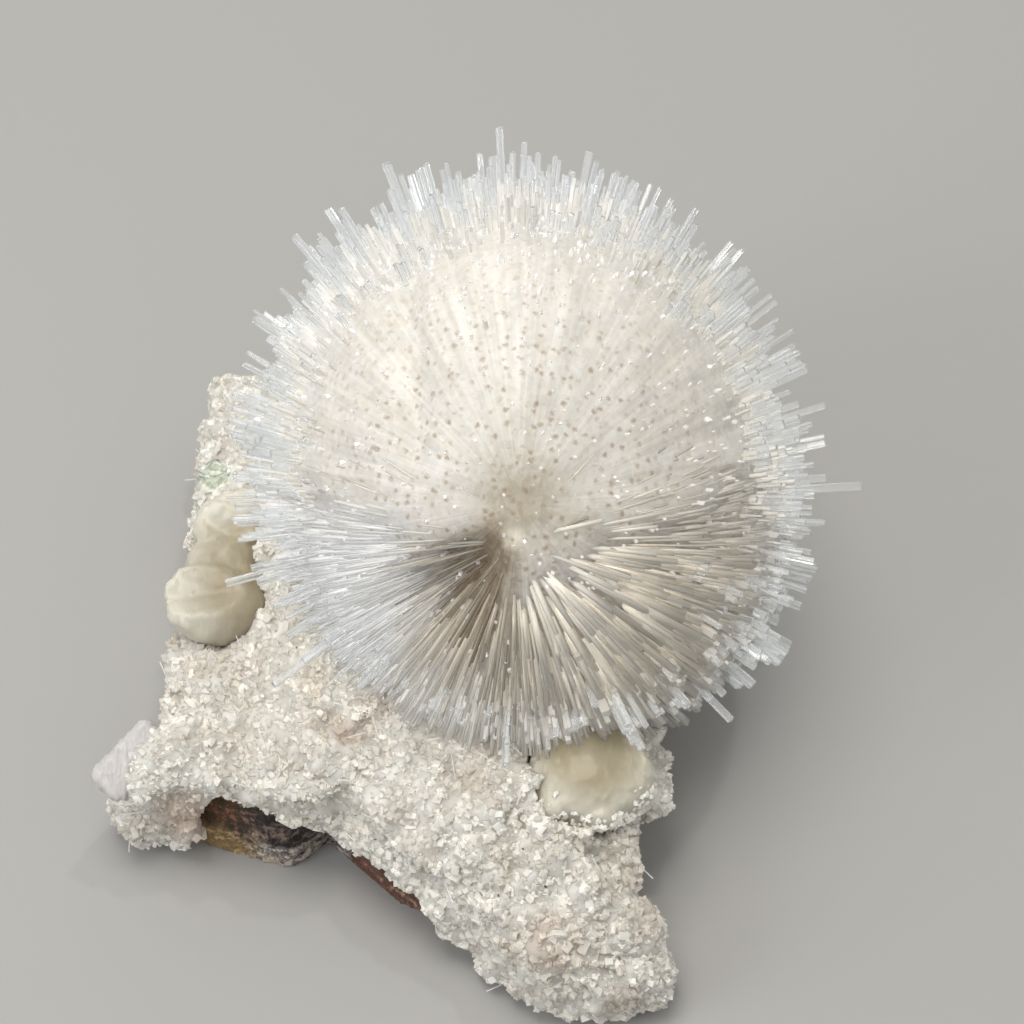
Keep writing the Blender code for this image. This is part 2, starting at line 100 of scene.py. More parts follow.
# Fans of the ball in the photo: angle round the root, half width, and where on the way out
# each begins and ends
ALWAYS = (-1.0, 0.0)
NEVER = (2.0, 3.0)
GROOVE = (232.0, 30.0, (0.08, 0.3), (0.62, 0.85))
# PARTING, LOWER_RIGHT and COOL_FAN only place painted shade and a painted cool light in the
# needles' tones
PARTING = (238.0, 42.0, (0.03, 0.16), (0.40, 0.80))
LOWER_RIGHT = (305.0, 70.0, (0.2, 0.6))
COOL_FAN = (205.0, 35.0, (0.3, 0.6))
BROAD_COMBED = (315.0, 45.0, (0.6, 0.85))
FINE_FAN = (215.0, 50.0)
BROAD_FAN = (308.0, 45.0)

# The milky body: its surface's share of the reach, where needles end level and where in steps
BODY_SUBDIVISIONS = 6
LEVEL_BODY = 0.95
STEPPED_BODY = 0.895
STEPS_FROM = (0.12, 0.75)
STEPS_OVER = 0.38
STEPS_LOW = (0.3, -0.5)
BODY_BUMPS = ((2.6, 0.22), (0.9, 0.10))
GROOVE_DEPTH = 2.2
# The upper left crease: where across, how wide and how deep
CREASE = (-0.37, 0.05, 1.0)

# Tone and warmth of the needles: the start, how much they vary, and for each mark on the
# ball how much darker and how much warmer it is. Below, low and lower_right are painted
# shade where the ball's lower side is in shadow; parting and pole are painted shade of the
# dark depth seen into the hollow and down the middle; cool is a painted cool light on the
# lower left fan
BASE_TONE, TONE_VARIES = 0.74, 0.02
BASE_WARMTH, WARMTH_VARIES = 0.55, 0.05
SHADES = {
    "below": (0.02, 0.0),
    "behind": (0.14, 0.0),
    "streaks": (-0.09, -0.10),
    "parting": (0.48, 0.40),
    "lower_right": (0.07, 0.10),
    "pole": (0.34, 0.45),
    "low": (0.10, 0.0),
    "cool": (0.06, -0.50),
    "rim": (0.0, -0.30),
    "white_spot": (-0.80, 0.0),
}
# How far out the painted warm shade round the middle reaches
POLE_RADIUS = 0.17
# A white spot under the middle, where the needles are brighter: across, up and radius
WHITE_SPOT = (-0.03, -0.12, 0.034)
# Soft radial streaks: turns round the middle, change on the way out, and strength
SOFT_STREAKS = ((5.0, 1.2, 0.5), (13.0, 1.8, 0.8), (27.0, 2.5, 0.5))
# Where the brown dots of painted hollow shade centre, and where they fade
DOTS_MIDDLE = (-0.05, 0.12)
DOTS_FADE = (0.35, 0.75)

# Milky needles that stand out of the body
NEEDLE_SPOTS = 15000
NEEDLE_JITTER = 0.8
# Chance of a needle everywhere, on the steps and at the rim
NEEDLE_CHANCE = (0.004, 0.01, 0.7)
NEEDLE_WIDTH = (0.16, 0.34)
TIP_WIDTH = (0.6, 1.0)
BROAD_SHARE = 0.08
BROADER_BY = 1.6
RIM = (0.76, 0.98)
LOW_EDGE = (17.0, 6.0)
NEEDLE_DEPTH = 0.6
HEIGHT_POWER = 1.5
EDGE_DEGREES = 8.0
EDGE_START = 2.6
CAP_TILT = 0.10
SPARKLE_SHARE = 0.06
SPARKLE_TILT = 0.8

# Needles combed outwards over the body on the photo's lower half
COMBED_SPOTS = 15000
COMBED_FROM = np.array((-0.02, -0.13))
COMBED_TURN = (9.0, 27.0)
COMBED_RISE = (0.1, 2.4)
COMBED_WIDTH = (0.12, 0.26)
COMBED_TIP = (0.7, 1.0)
# They begin higher on the photo's right than on its left
LOW_ON_LEFT, LOW_ON_RIGHT, ALL_LOW = 0.10, 0.35, -0.40
COMBED_BEGINS = (0.05, 0.30)
COMBED_DEPTH = 0.3
COMBED_LIMIT = 1.01
COMBED_TONE = (0.03, 0.11)

# Needle ends that just show on the body, thickest in a band under the photo's top rim
GLINTS = 2100
GLINT_BAND = (0.55, 0.80)
GLINT_CHANCE = (0.08, 0.26)
GLINT_WIDTH = (0.12, 0.30)
GLINT_HEIGHT = (0.15, 0.45)

# Free needles in groups of parallel rods: milky lower down, clear towards the end
ROD_GROUPS = 1400
RODS_IN_GROUP = (1, 3)
ROD_WIDTH = (0.24, 0.48)
ROD_HEIGHT_LEAST = 0.9
ROD_HEIGHT_SCALE = 2.5
ROD_HEIGHT_SHAPE = 1.5
FAN_NARROWER = 0.62
LOWER_RIGHT_BROADER = 1.5
ROD_LEVEL = 0.915
MILKY_SHARE = 0.22
MILKY_MOST = 1.2
MILKY_NARROWER = 0.96
ROD_LIMIT = 1.11
ROD_CHAMFER = 0.13
ROD_CHANCE = (0.03, 0.96)
ROD_STEPS = (0.4, 1.0)
ROD_SPACING = (1.05, 1.8)
PROUD_WIDTH = (0.52, 0.66)
PROUD_STEPS = np.array((1.0, 0.6, 0.3))
PROUD_SHORTER = 0.3
# Compass and height in degrees, and reach
PROUD_NEEDLES = (
    (94.0, 38.0, 30.8),
    (76.0, 37.0, 29.3),
    (116.5, 35.0, 29.9),
    (129.5, 31.0, 28.8),
    (134.0, 23.0, 29.0),
    (146.0, 13.0, 27.1),
    (39.5, 26.0, 26.8),
    (14.5, 11.0, 26.2),
    (2.5, 2.0, 27.9),
    (-16.0, -12.0, 24.4),
    (-26.0, -18.0, 24.8),
    (-46.0, -13.0, 25.0),
    (195.0, -5.0, 24.8),
    (221.0, -3.0, 26.0),
    (88.0, -6.0, 27.2),
)

# Crust: fine surface and scattered crystals
CRUST_VOXEL = 0.33
CRUST_LUMPS = ((5.5, 0.5), (2.6, 0.6))
CRUST_CELLS = ((2.5, 1.2), (1.0, 0.35))
# Painted shade in the crevices between the cells: how dark and how wide
CREVICE_SHADE = (0.3, 0.30)
CRYSTALS = 32000
CRYSTAL_SIZE = (0.24, 0.78)
CRYSTAL_POWER = 2.4
CRYSTAL_SUNK = (0.05, 0.42)
CRYSTAL_STRETCH = (0.75, 1.25)
CRYSTAL_BLOCKS = ((1.0, 1.0, 0.9), (0.7, 0.75, 1.5))
CRYSTAL_SKEW = (0.72, 1.15)
TIP_CRYSTALS = 1.1
TIP_FROM = (-23.0, -28.0)
BOX_MARGIN = 0.4
# Share of tiny grains painted dark, as specks of shade in the crevices
SHADE_SPECK_SHARE = 0.003
FAINT_STAIN = 0.22
# Pink-brown stains: across and up in the photo's plane, how wide and how strong
STAINS = (
    (-27.0, -24.8, 2.6, 1.0),
    (-16.5, -13.9, 1.8, 0.45),
    (-13.5, -18.1, 1.8, 0.35),
    (-10.9, -15.5, 2.4, 0.45),
    (3.0, -34.0, 3.0, 0.30),
    (9.8, -33.0, 1.8, 0.35),
)
ROCK_REACH = 2.5
SPLINTERS = 190
SPLINTER_LENGTH = (0.8, 4.0)
SPLINTER_WIDTH = (0.05, 0.09)
SPLINTER_LIFT = 0.35
# Where most splinters lie: across, up, stretch each way, and from where they thin out
APRON = (-6.5, -15.5, 1.6, 1.2, (6.5, 2.0))

# Rock: size and rise of its lumps, layered ridges, finer ridges and grain
BASALT_VOXEL = 0.4
ROCK_LAYERS = (0.5, 0.5, 1.6)
ROCK_RELIEF = ((4.0, 0.40), (1.8, 0.6), (1.1, 0.35), (0.5, 0.12))
ROCK_SUNK = 0.35
ROCK_FREE = (0.1, 0.8)

# Stilbites: hinge point, where each pales away from it, size and rise of leaves, smoothings
LEFT_SHEAF = ((-19, -4, 12), (6.2, 11.0), 1.3, 0.42, 4)
FRONT_DOME = ((5.5, -21.0, 16.5), (2.5, 5.5), 1.5, 0.26, 8)
CORNER_BLADE = ((-26, -16, 9), (0.0, 3.0), 1.0, 0.20, 12)
STILBITE_VOXEL = 0.18
FLAKE_STRETCH = (1.0, 0.6, 0.35)
# Size and rise of flakes and of a soft swell
FLAKES = (0.35, 0.20)
SWELL = (1.3, 0.08)
# Sparkling clusters on the front stilbite's lower rim: across, up, width, count
CLUSTERS = (
    (3.6, -25.3, 1.4, 90),
    (5.8, -25.6, 1.4, 100),
    (8.1, -25.4, 1.4, 90),
    (1.6, -22.8, 1.3, 34),
    (9.9, -23.2, 1.2, 30),
)
GRAIN_TRIES = 6000
GRAIN_SIZE = (0.16, 0.46)

# Patterns in the materials, in cells per metre: 1000 makes cells of 1 mm. DOT_BEND and
# ROCK_WOBBLE are in metres, STREAK_LENGTH in mm
DOTS_PER_METRE = 1350.0
ENDS_PER_METRE = 2300.0
BENDS_PER_METRE = 2400.0
DOT_BEND = 0.0005
STREAK_LENGTH = 7.0
# Fine streaks: turns round the middle, mm until they show fully, and strength
STREAKS = ((12.0, 5.0, 1.1), (34.0, 12.0, 1.2))
ROCK_STREAKS = (160.0, 160.0, 1100.0)
ROCK_SPECKS = 1900.0
ROCK_CLOUDS = 260.0
ROCK_WOBBLE = 0.010
# Zones of the rock: axis, where in metres each begins and is full, and its colour
ROCK_ZONES = (
    ("X", -0.0140, -0.0125, "#A0705B"),
    ("X", -0.0205, -0.0230, "#D2B071"),
    # The near-black top, under the crust's lip, is painted shade
    ("Z", 0.0022, 0.0040, "#2C2024"),
)
STRIAE = (2600.0, 260.0, 420.0)
STRIAE_TURN = (0.5, 0.3, 0.9)
STILBITE_CLOUDS = 300.0
RGBA = {"output": 2, "data_type": "RGBA"}


# Small helpers


def linear(hex_colour):
    """An sRGB colour like #C0FFEE as the linear RGBA that a shader takes."""
    channels = [int(hex_colour[i : i + 2], 16) / 255 for i in (1, 3, 5)]
    return (*[c / 12.92 if c <= 0.04045 else ((c + 0.055) / 1.055) ** 2.4 for c in channels], 1.0)


def smoothstep(low, high, value):
    t = np.clip((value - low) / (high - low), 0.0, 1.0)
    return t * t * (3 - 2 * t)


def connect(node, sockets):
    """Give each named socket of a node a value, or link it to another node's output."""
    for key, value in sockets.items():
        if isinstance(value, bpy.types.NodeSocket):
            node.id_data.links.new(value, node.inputs[key])
        else:
            node.inputs[key].default_value = value


def add_node(tree, kind, sockets, output=0, **settings):
    """Add a node with its settings and links, and give one of its outputs."""
    node = tree.nodes.new("ShaderNode" + kind)
    for name, value in settings.items():
        setattr(node, name, value)
    connect(node, sockets)
    return node.outputs[output]


def new_material(name, **looks):
    """A Principled material and what adds a node to it. Looks are sockets, with _ for a space."""
    material = bpy.data.materials.new(name)
    material.use_nodes = True
    shader = material.node_tree.nodes["Principled BSDF"]
    shader.subsurface_method = "BURLEY"
    connect(shader, {socket.replace("_", " "): value for socket, value in looks.items()})
    return material, partial(add_node, material.node_tree), shader


def new_object(name, data):
    """An object in the scene that shows a mesh, a camera or a light."""
    thing = bpy.data.objects.new(name, data)
    bpy.context.scene.collection.objects.link(thing)
    return thing


def arrays_of(bm):
    """A small shape's points and faces."""
    bm.verts.index_update()
    points = np.array([vert.co for vert in bm.verts])
    faces = [[vert.index for vert in face.verts] for face in bm.faces]
    bm.free()
    return points, faces


def boxed(points):
    """Points in mm as single-precision metres, kept inside the solids' box."""
    return np.clip(points * MM, *np.array(CAD_BOX)).astype(np.float32).ravel()


def mesh_from_arrays(name, points, faces, copies):
    """A mesh in metres from copies of one shape, whose points are in mm."""
    size = len(points) // copies
    corners = np.concatenate([np.array(face) for face in faces])
    totals = np.tile([len(face) for face in faces], copies)
    loops = (corners[None] + np.arange(copies)[:, None] * size).ravel()
    mesh = bpy.data.meshes.new(name)
    mesh.vertices.add(len(points))
    mesh.vertices.foreach_set("co", boxed(points))
    mesh.loops.add(len(loops))
    mesh.loops.foreach_set("vertex_index", loops.astype(np.int32))
    mesh.polygons.add(len(totals))
    starts = np.concatenate([[0], np.cumsum(totals)[:-1]])
    mesh.polygons.foreach_set("loop_start", starts.astype(np.int32))
    mesh.update(calc_edges=True)
    mesh.shade_flat()
    return mesh


def add_values(mesh, **values):
    """Attributes with one number for each point."""
    for name, value in values.items():
        attribute = mesh.attributes.new(name, "FLOAT", "POINT")
        attribute.data.foreach_set("value", np.asarray(value, np.float32))


def add_piece(name, mesh, material, node):
    """Show a piece in place of a CAD node."""
    mesh.materials.clear()
    mesh.materials.append(material)
    piece = new_object(name, mesh)
    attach(piece, BODY)
    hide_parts(node)
    return piece


def merged_bmesh(node):
    bm = bmesh.new()
    bm.from_mesh(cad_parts[node].data)
    bmesh.ops.remove_doubles(bm, verts=bm.verts[:], dist=MERGE)
    return bm


def fine_copy(node, voxel):
    """A CAD node's shape remeshed into small even cells."""
    mesh = bpy.data.meshes.new(node + "_fine")
    bm = merged_bmesh(node)
    bm.to_mesh(mesh)
    bm.free()
    holder = new_object(mesh.name, mesh)
    remesh = holder.modifiers.new("even_cells", "REMESH")
    remesh.mode = "VOXEL"
    remesh.voxel_size = voxel * MM
    remesh.use_smooth_shade = True
    depsgraph = bpy.context.evaluated_depsgraph_get()
    fine = bpy.data.meshes.new_from_object(holder.evaluated_get(depsgraph))
    bpy.data.objects.remove(holder, do_unlink=True)
    return fine


def points_of(mesh):
    """Points in mm and unit normals of a mesh."""
    points = np.empty(len(mesh.vertices) * 3, np.float32)
    mesh.vertices.foreach_get("co", points)
    normals = np.empty(len(mesh.vertices) * 3, np.float32)
    mesh.vertex_normals.foreach_get("vector", normals)
    return points.reshape(-1, 3) / MM, normals.reshape(-1, 3)


def raise_points(mesh, points, normals, rise):
    """Move a mesh's points along their normals."""
    mesh.vertices.foreach_set("co", boxed(points + normals * rise[:, None]))
    mesh.update()


def noise_at(points, size):
    """Smooth noise, about -1 to 1, at points in mm, with features of a size in mm."""
    return np.array([noise.noise(Vector(point)) for point in points / size])


def cells_at(points, size):
    """Distance to the nearest cell centre, and to the border, for cells of a size in mm."""
    found = [noise.voronoi(Vector(point))[0] for point in points / size]
    near = np.array([distances[0] for distances in found])
    border = np.array([distances[1] - distances[0] for distances in found])
    return near, border


# View


def view_basis():
    """Right, up and back of the photo's view, as rows."""
    tilt = math.radians(VIEW_ELEVATION)
    up = (0.0, math.sin(tilt), math.cos(tilt))
    back = (0.0, -math.cos(tilt), math.sin(tilt))
    return np.array(((1.0, 0.0, 0.0), up, back))


VIEW = view_basis()


def add_camera():
    middle = IMAGE_WIDTH / 2
    shift_right = (middle - ROOT_PIXEL[0]) * MM_PER_PIXEL
    shift_up = (ROOT_PIXEL[1] - middle) * MM_PER_PIXEL
    aim = SPRAY_CENTRE + VIEW[0] * shift_right + VIEW[1] * shift_up
    data = bpy.data.cameras.new("camera")
    data.sensor_width = SENSOR_WIDTH
    data.lens = SENSOR_WIDTH * CAMERA_DISTANCE / (IMAGE_WIDTH * MM_PER_PIXEL)
    data.clip_start = CLIP_START * MM
    camera = new_object("camera", data)
    camera.location = Vector((aim + VIEW[2] * CAMERA_DISTANCE) * MM)
    camera.rotation_euler = (math.radians(90.0 - VIEW_ELEVATION), 0.0, 0.0)
    bpy.context.scene.camera = camera


def add_floor():
    bm = bmesh.new()
    bmesh.ops.create_grid(bm, x_segments=1, y_segments=1, size=FLOOR_REACH * MM)
    mesh = bpy.data.meshes.new("floor")
    bm.to_mesh(mesh)
    bm.free()
    material, _, _ = new_material("pale_paper", Base_Color=linear("#B2B1AE"), Roughness=0.9)
    mesh.materials.append(material)
    new_object("floor", mesh)


def add_light(name, place, size, power, colour):
    """A soft round light that faces the spray. Place and size are in mm."""
    data = bpy.data.lights.new(name, "AREA")
    data.shape = "DISK"
    data.size = size * MM
    data.energy = power
    data.color = linear(colour)[:3]
    light = new_object(name, data)
    light.location = Vector(place) * MM
    aim = Vector(SPRAY_CENTRE) * MM - light.location
    light.rotation_euler = aim.to_track_quat("-Z", "Y").to_euler()


def add_studio():
    """Soft light all round, a broad key from the photo's upper left and a cool fill."""
    world = bpy.data.worlds.new("studio")
    world.use_nodes = True
    background = world.node_tree.nodes["Background"]
    background.inputs["Color"].default_value = linear("#FAFAFA")
    background.inputs["Strength"].default_value = WORLD_STRENGTH
    bpy.context.scene.world = world
    for name, settings in LIGHTS.items():
        add_light(name, *settings)
    bpy.context.scene.view_settings.view_transform = "Standard"


# Spray


def dense_radius(directions):
    """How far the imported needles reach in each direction."""
    lean = directions @ LONG_SIDE
    gain = LONG_SIDE_GAIN * np.maximum(lean, 0) - SHORT_SIDE_LOSS * np.maximum(-lean, 0)
    across = directions[:, 0]
    side = LEFT_LOSS * np.maximum(-across, 0) + RIGHT_LOSS * np.maximum(across, 0)
    return SPRAY_RADIUS + gain - side


def degrees_above_lowest(directions):
    """Angle of each direction above the lowest needles on that side."""
    level = np.maximum(np.hypot(directions[:, 0], directions[:, 1]), 1e-6)
    right = np.maximum(directions[:, 0], 0.0) / level
    back = np.maximum(directions[:, 1], 0.0) / level
    lowest = LOWEST_NEEDLE - LOWER_ON_RIGHT * right * right - LOWER_AT_BACK * back
    return np.degrees(np.arctan2(directions[:, 2], level)) - lowest


def unit(vectors):
    return vectors / np.linalg.norm(vectors, axis=-1, keepdims=True)


def even_directions(count):
    """Directions spread evenly over a ball along a spiral whose poles are hidden."""
    place = np.arange(count) + 0.5
    polar = np.arccos(1 - 2 * place / count)
    around = math.pi * (1 + math.sqrt(5)) * place
    ring = np.sin(polar)
    spots = np.stack((np.cos(around) * ring, np.sin(around) * ring, np.cos(polar)), axis=1)
    return spots @ np.array(Euler(SPOT_TURN).to_matrix())


def frames_along(directions, twists):
    """For each direction a turned frame whose columns are two sides and the direction."""
    steep = np.abs(directions[:, 2:]) > 0.9
    helper = np.where(steep, ((1.0, 0.0, 0.0),), ((0.0, 0.0, 1.0),))
    side = unit(np.cross(helper, directions))
    other = np.cross(directions, side)
    c = np.cos(twists)[:, None]
    s = np.sin(twists)[:, None]
    return np.stack((side * c + other * s, other * c - side * s, directions), axis=2)


def rod_shape(chamfer=0.0):
    """A square prism of unit width from z 0 to 1, with its edges cut off by a chamfer."""
    bm = bmesh.new()
    bmesh.ops.create_cube(bm, size=1.0, matrix=Matrix.Translation((0, 0, 0.5)))
    if chamfer:
        bmesh.ops.bevel(
            bm,
            geom=bm.edges[:],
            offset=chamfer,
            segments=1,
            profile=0.5,
            affect="EDGES",
            material=-1,
        )
    return arrays_of(bm)


def rods(shape, needles):
    """Joined square rods. Each follows its direction from the root, between its start and end."""
    points, faces = shape
    count = len(needles["width"])
    plain = {
        "origin": SPRAY_CENTRE[None],
        "taper": np.ones(count),
        "shift": np.zeros(count),
        "tilt": np.zeros((count, 2)),
    }
    needles = plain | needles
    far = points[:, 2] > 0.5
    width = needles["width"][:, None]
    end_width = width * needles["taper"][:, None]
    wide = np.where(far, end_width, width)
    local = points[None] * wide[:, :, None]
    slope = np.einsum("kj,pj->kp", needles["tilt"], points[:, :2]) * end_width
    top = (points[:, 2] - 1.0) * end_width + needles["end"][:, None] + slope
    bottom = points[:, 2] * width + needles["start"][:, None]
    local[:, :, 2] = np.where(far, top, bottom)
    frames = frames_along(needles["direction"], needles["twist"])
    placed = np.einsum("kij,kpj->kpi", frames, local)
    placed += (needles["origin"] + frames[:, :, 0] * needles["shift"][:, None])[:, None]
    return placed.reshape(-1, 3), faces


def seen(directions):
    """Across, up and towards the viewer in the photo's view, for directions from the root."""
    return directions @ VIEW.T


def fan_at(directions, middle, half_width, begins=ALWAYS, ends=NEVER):
    """How strongly a fan of the ball shows, 0 to 1, by angle from the right, turning up."""
    across, up, _ = seen(directions).T
    angles = np.degrees(np.arctan2(up, across)) % 360.0
    away = np.abs((angles - middle + 180.0) % 360.0 - 180.0)
    fan = 1.0 - smoothstep(0.35 * half_width, half_width, away)
    out = np.hypot(across, up)
    return fan * smoothstep(*begins, out) * (1.0 - smoothstep(*ends, out))


def width_share(directions):
    """Needles are fine in the lower left fan and broad at the lower right."""
    _, _, back = seen(directions).T
    front = smoothstep(-0.3, 0.1, back)
    fine = fan_at(directions, *FINE_FAN) * front
    broad = fan_at(directions, *BROAD_FAN) * front
    return 1.0 + (FAN_NARROWER - 1.0) * fine + (LOWER_RIGHT_BROADER - 1.0) * broad


def rim_at(directions):
    """1 where free needles crowd: round the ball's rim in the photo, and on all other sides."""
    across, up, back = seen(directions).T
    rim = np.where(back > 0, smoothstep(*RIM, np.hypot(across, up)), 1.0)
    return np.maximum(rim, smoothstep(*LOW_EDGE, degrees_above_lowest(directions)))


def steps_at(directions):
    """0 where the needles end at one level, as on the photo's upper half, 1 where in steps."""
    across, up, back = seen(directions).T
    out = np.where(back > 0, np.hypot(across, up), 1.0)
    low = smoothstep(*STEPS_LOW, up / np.maximum(out, 0.05))
    start = STEPS_FROM[1] + (STEPS_FROM[0] - STEPS_FROM[1]) * low
    return smoothstep(0.0, 1.0, (out - start) / STEPS_OVER)


def needle_groove(directions):
    """How deep, in mm, the surface is drawn in at the parting and at the upper left crease."""
    across, up, back = seen(directions).T
    parting = fan_at(directions, *GROOVE) * (back > 0)
    place, width, depth = CREASE
    crease = np.exp(-(((across - place) / width) ** 2))
    crease *= smoothstep(0.05, 0.2, up) * (back > -0.2)
    return GROOVE_DEPTH * parting + depth * crease


def body_radius(directions):
    """How far the closed milky body reaches in each direction."""
    drawn_in = np.maximum(steps_at(directions), rim_at(directions))
    share = LEVEL_BODY + (STEPPED_BODY - LEVEL_BODY) * drawn_in
    return share * dense_radius(directions) - needle_groove(directions)


def streaks_at(directions):
    """Soft radial streaks round the middle of the photo's view, about -1 to 1."""
    across, up, _ = seen(directions).T
    out = np.hypot(across, up)
    angle = np.arctan2(up, across)
    found = 0.0
    for turns, along, share in SOFT_STREAKS:
        ring = np.stack((np.cos(angle) * turns, np.sin(angle) * turns, out * along), axis=1)
        found = found + share * noise_at(ring, 1.0) * smoothstep(0.0, 3.0 / turns, out)
    return found


def needle_tones(directions, draw):
    """Brightness and warmth of each needle, 0 to 1, as the photo shows the ball."""
    across, up, back = seen(directions).T
    out = np.hypot(across, up)
    front = smoothstep(-0.1, 0.3, back)
    low = smoothstep(0.1, -0.5, up / np.maximum(out, 0.05)) * smoothstep(0.05, 0.3, out)
    cool = fan_at(directions, *COOL_FAN) * front
    x, y, radius = WHITE_SPOT
    # Below, low, lower_right, parting and pole are painted shade; cool is a painted cool light
    shades = {
        "below": smoothstep(0.75, 0.0, up) * front,
        "behind": smoothstep(0.0, -0.6, back),
        "streaks": streaks_at(directions),
        "parting": fan_at(directions, *PARTING) * front,
        "lower_right": fan_at(directions, *LOWER_RIGHT) * front,
        "pole": np.exp(-((out / POLE_RADIUS) ** 2)) * front,
        "low": low * front * (1.0 - cool),
        "cool": cool,
        "rim": rim_at(directions),
        "white_spot": np.exp(-((across - x) ** 2 + (up - y) ** 2) / radius**2) * front,
    }
    tone = BASE_TONE + TONE_VARIES * draw.standard_normal(len(out))
    warmth = BASE_WARMTH + WARMTH_VARIES * draw.standard_normal(len(out))
    for name, (darker, warmer) in SHADES.items():
        tone -= darker * shades[name]
        warmth += warmer * shades[name]
    return np.clip(tone, 0.0, 1.0), np.clip(warmth, 0.0, 1.0)


def hollow_shade_at(directions):
    """How strongly the brown dots of painted hollow shade show, 0 to 1: round the middle of the
    photo's view.
    """
    across, up, back = seen(directions).T
    x, y = DOTS_MIDDLE
    spread = np.hypot((across - x) / 1.1, up - y)
    return (1.0 - 0.75 * smoothstep(*DOTS_FADE, spread)) * smoothstep(-0.2, 0.2, back)


def spray_body_mesh():
    """The closed milky body of the spray, drawn in to a root below the lowest needles."""
    bm = bmesh.new()
    bmesh.ops.create_icosphere(bm, subdivisions=BODY_SUBDIVISIONS, radius=1.0)
    points, faces = arrays_of(bm)
    directions = unit(points)
    share = smoothstep(*ROOT_BLEND, degrees_above_lowest(directions))
    radii = ROOT_RADIUS + share * (body_radius(directions) - ROOT_RADIUS)
    placed = directions * radii[:, None]
    radii += share * sum(rise * noise_at(placed, size) for size, rise in BODY_BUMPS)
    mesh = mesh_from_arrays("spray_body", directions * radii[:, None] + SPRAY_CENTRE, faces, 1)
    tone, warmth = needle_tones(directions, np.random.default_rng(3))
    streaky = 0.45 + 0.35 * steps_at(directions)
    add_values(mesh, tone=tone, warmth=warmth, dots=hollow_shade_at(directions), streaky=streaky)
    mesh.shade_smooth()
    return mesh


def milky_needles():
    """Needles that stand out of the body: what each rod is made with, its tone and warmth."""
    draw = np.random.default_rng(5)
    spots = even_directions(NEEDLE_SPOTS)
    pitch = math.sqrt(4 * math.pi / NEEDLE_SPOTS)
    spots = unit(spots + draw.uniform(-1, 1, spots.shape) * NEEDLE_JITTER * pitch)
    everywhere, on_steps, at_rim = NEEDLE_CHANCE
    chance = everywhere + on_steps * steps_at(spots) + at_rim * rim_at(spots)
    kept = draw.random(NEEDLE_SPOTS) < chance
    kept &= degrees_above_lowest(spots) > 0.0
    spots = spots[kept]
    above = degrees_above_lowest(spots)
    count = len(spots)
    body = body_radius(spots)
    height = dense_radius(spots) - needle_groove(spots) - body
    sparkle = draw.random(count) < SPARKLE_SHARE
    tilt = draw.normal(0, CAP_TILT, (count, 2))
    tilt[sparkle] = draw.uniform(-SPARKLE_TILT, SPARKLE_TILT, (sparkle.sum(), 2))
    broad = np.where(draw.random(count) < BROAD_SHARE, BROADER_BY, 1.0)
    tone, warmth = needle_tones(spots, draw)
    return {
        "direction": spots,
        "width": draw.uniform(*NEEDLE_WIDTH, count) * broad * width_share(spots),
        "taper": draw.uniform(*TIP_WIDTH, count),
        "start": np.where(above < EDGE_DEGREES, EDGE_START, body - NEEDLE_DEPTH),
        "end": body + 0.1 + height * draw.random(count) ** HEIGHT_POWER,
        "twist": draw.uniform(0, math.pi / 2, count),
        "tilt": tilt,
        "tone": tone,
        "warmth": warmth,
    }


def combed_needles():
    """Long needles low over the body, combed away from the middle of the photo's view."""
    draw = np.random.default_rng(29)
    spots = even_directions(COMBED_SPOTS)
    spots = unit(spots + draw.uniform(-0.02, 0.02, spots.shape))
    across, up, back = seen(spots).T
    out = np.hypot(across, up)
    start = np.where(across < 0, LOW_ON_LEFT, LOW_ON_RIGHT)
    low = smoothstep(start, ALL_LOW, up / np.maximum(out, 0.05))
    zone = low * smoothstep(*COMBED_BEGINS, out) * smoothstep(-0.1, 0.2, back)
    spots = spots[draw.random(COMBED_SPOTS) < zone]
    count = len(spots)
    x, y = COMBED_FROM
    apex = x * VIEW[0] + y * VIEW[1] + math.sqrt(1 - x * x - y * y) * VIEW[2]
    away = unit((spots @ apex)[:, None] * spots - apex)
    turn = np.radians(draw.uniform(*COMBED_TURN, count))[:, None]
    far = unit(spots * np.cos(turn) + away * np.sin(turn))
    near_end = spots * (body_radius(spots) - COMBED_DEPTH)[:, None]
    far_across, far_up, _ = seen(far).T
    rise = draw.uniform(*COMBED_RISE, count)
    rise *= 0.25 + 0.75 * smoothstep(0.15, -0.45, far_up / np.hypot(far_across, far_up))
    reach = np.minimum(body_radius(far) + rise, COMBED_LIMIT * dense_radius(far))
    along = far * reach[:, None] - near_end
    tone, warmth = needle_tones(unit(spots + far), draw)
    chance = 0.3 * fan_at(far, *BROAD_COMBED)
    broad = np.where(draw.random(count) < chance, draw.uniform(1.4, 2.2, count), 1.0)
    return {
        "origin": SPRAY_CENTRE + near_end,
        "direction": unit(along),
        "width": draw.uniform(*COMBED_WIDTH, count) * broad * width_share(far),
        "taper": draw.uniform(*COMBED_TIP, count),
        "start": np.zeros(count),
        "end": np.linalg.norm(along, axis=1),
        "twist": draw.uniform(0, math.pi / 2, count),
        "tilt": draw.normal(0, CAP_TILT, (count, 2)),
        "tone": np.clip(tone + draw.normal(*COMBED_TONE, count), 0, 1),
        "warmth": warmth,
    }


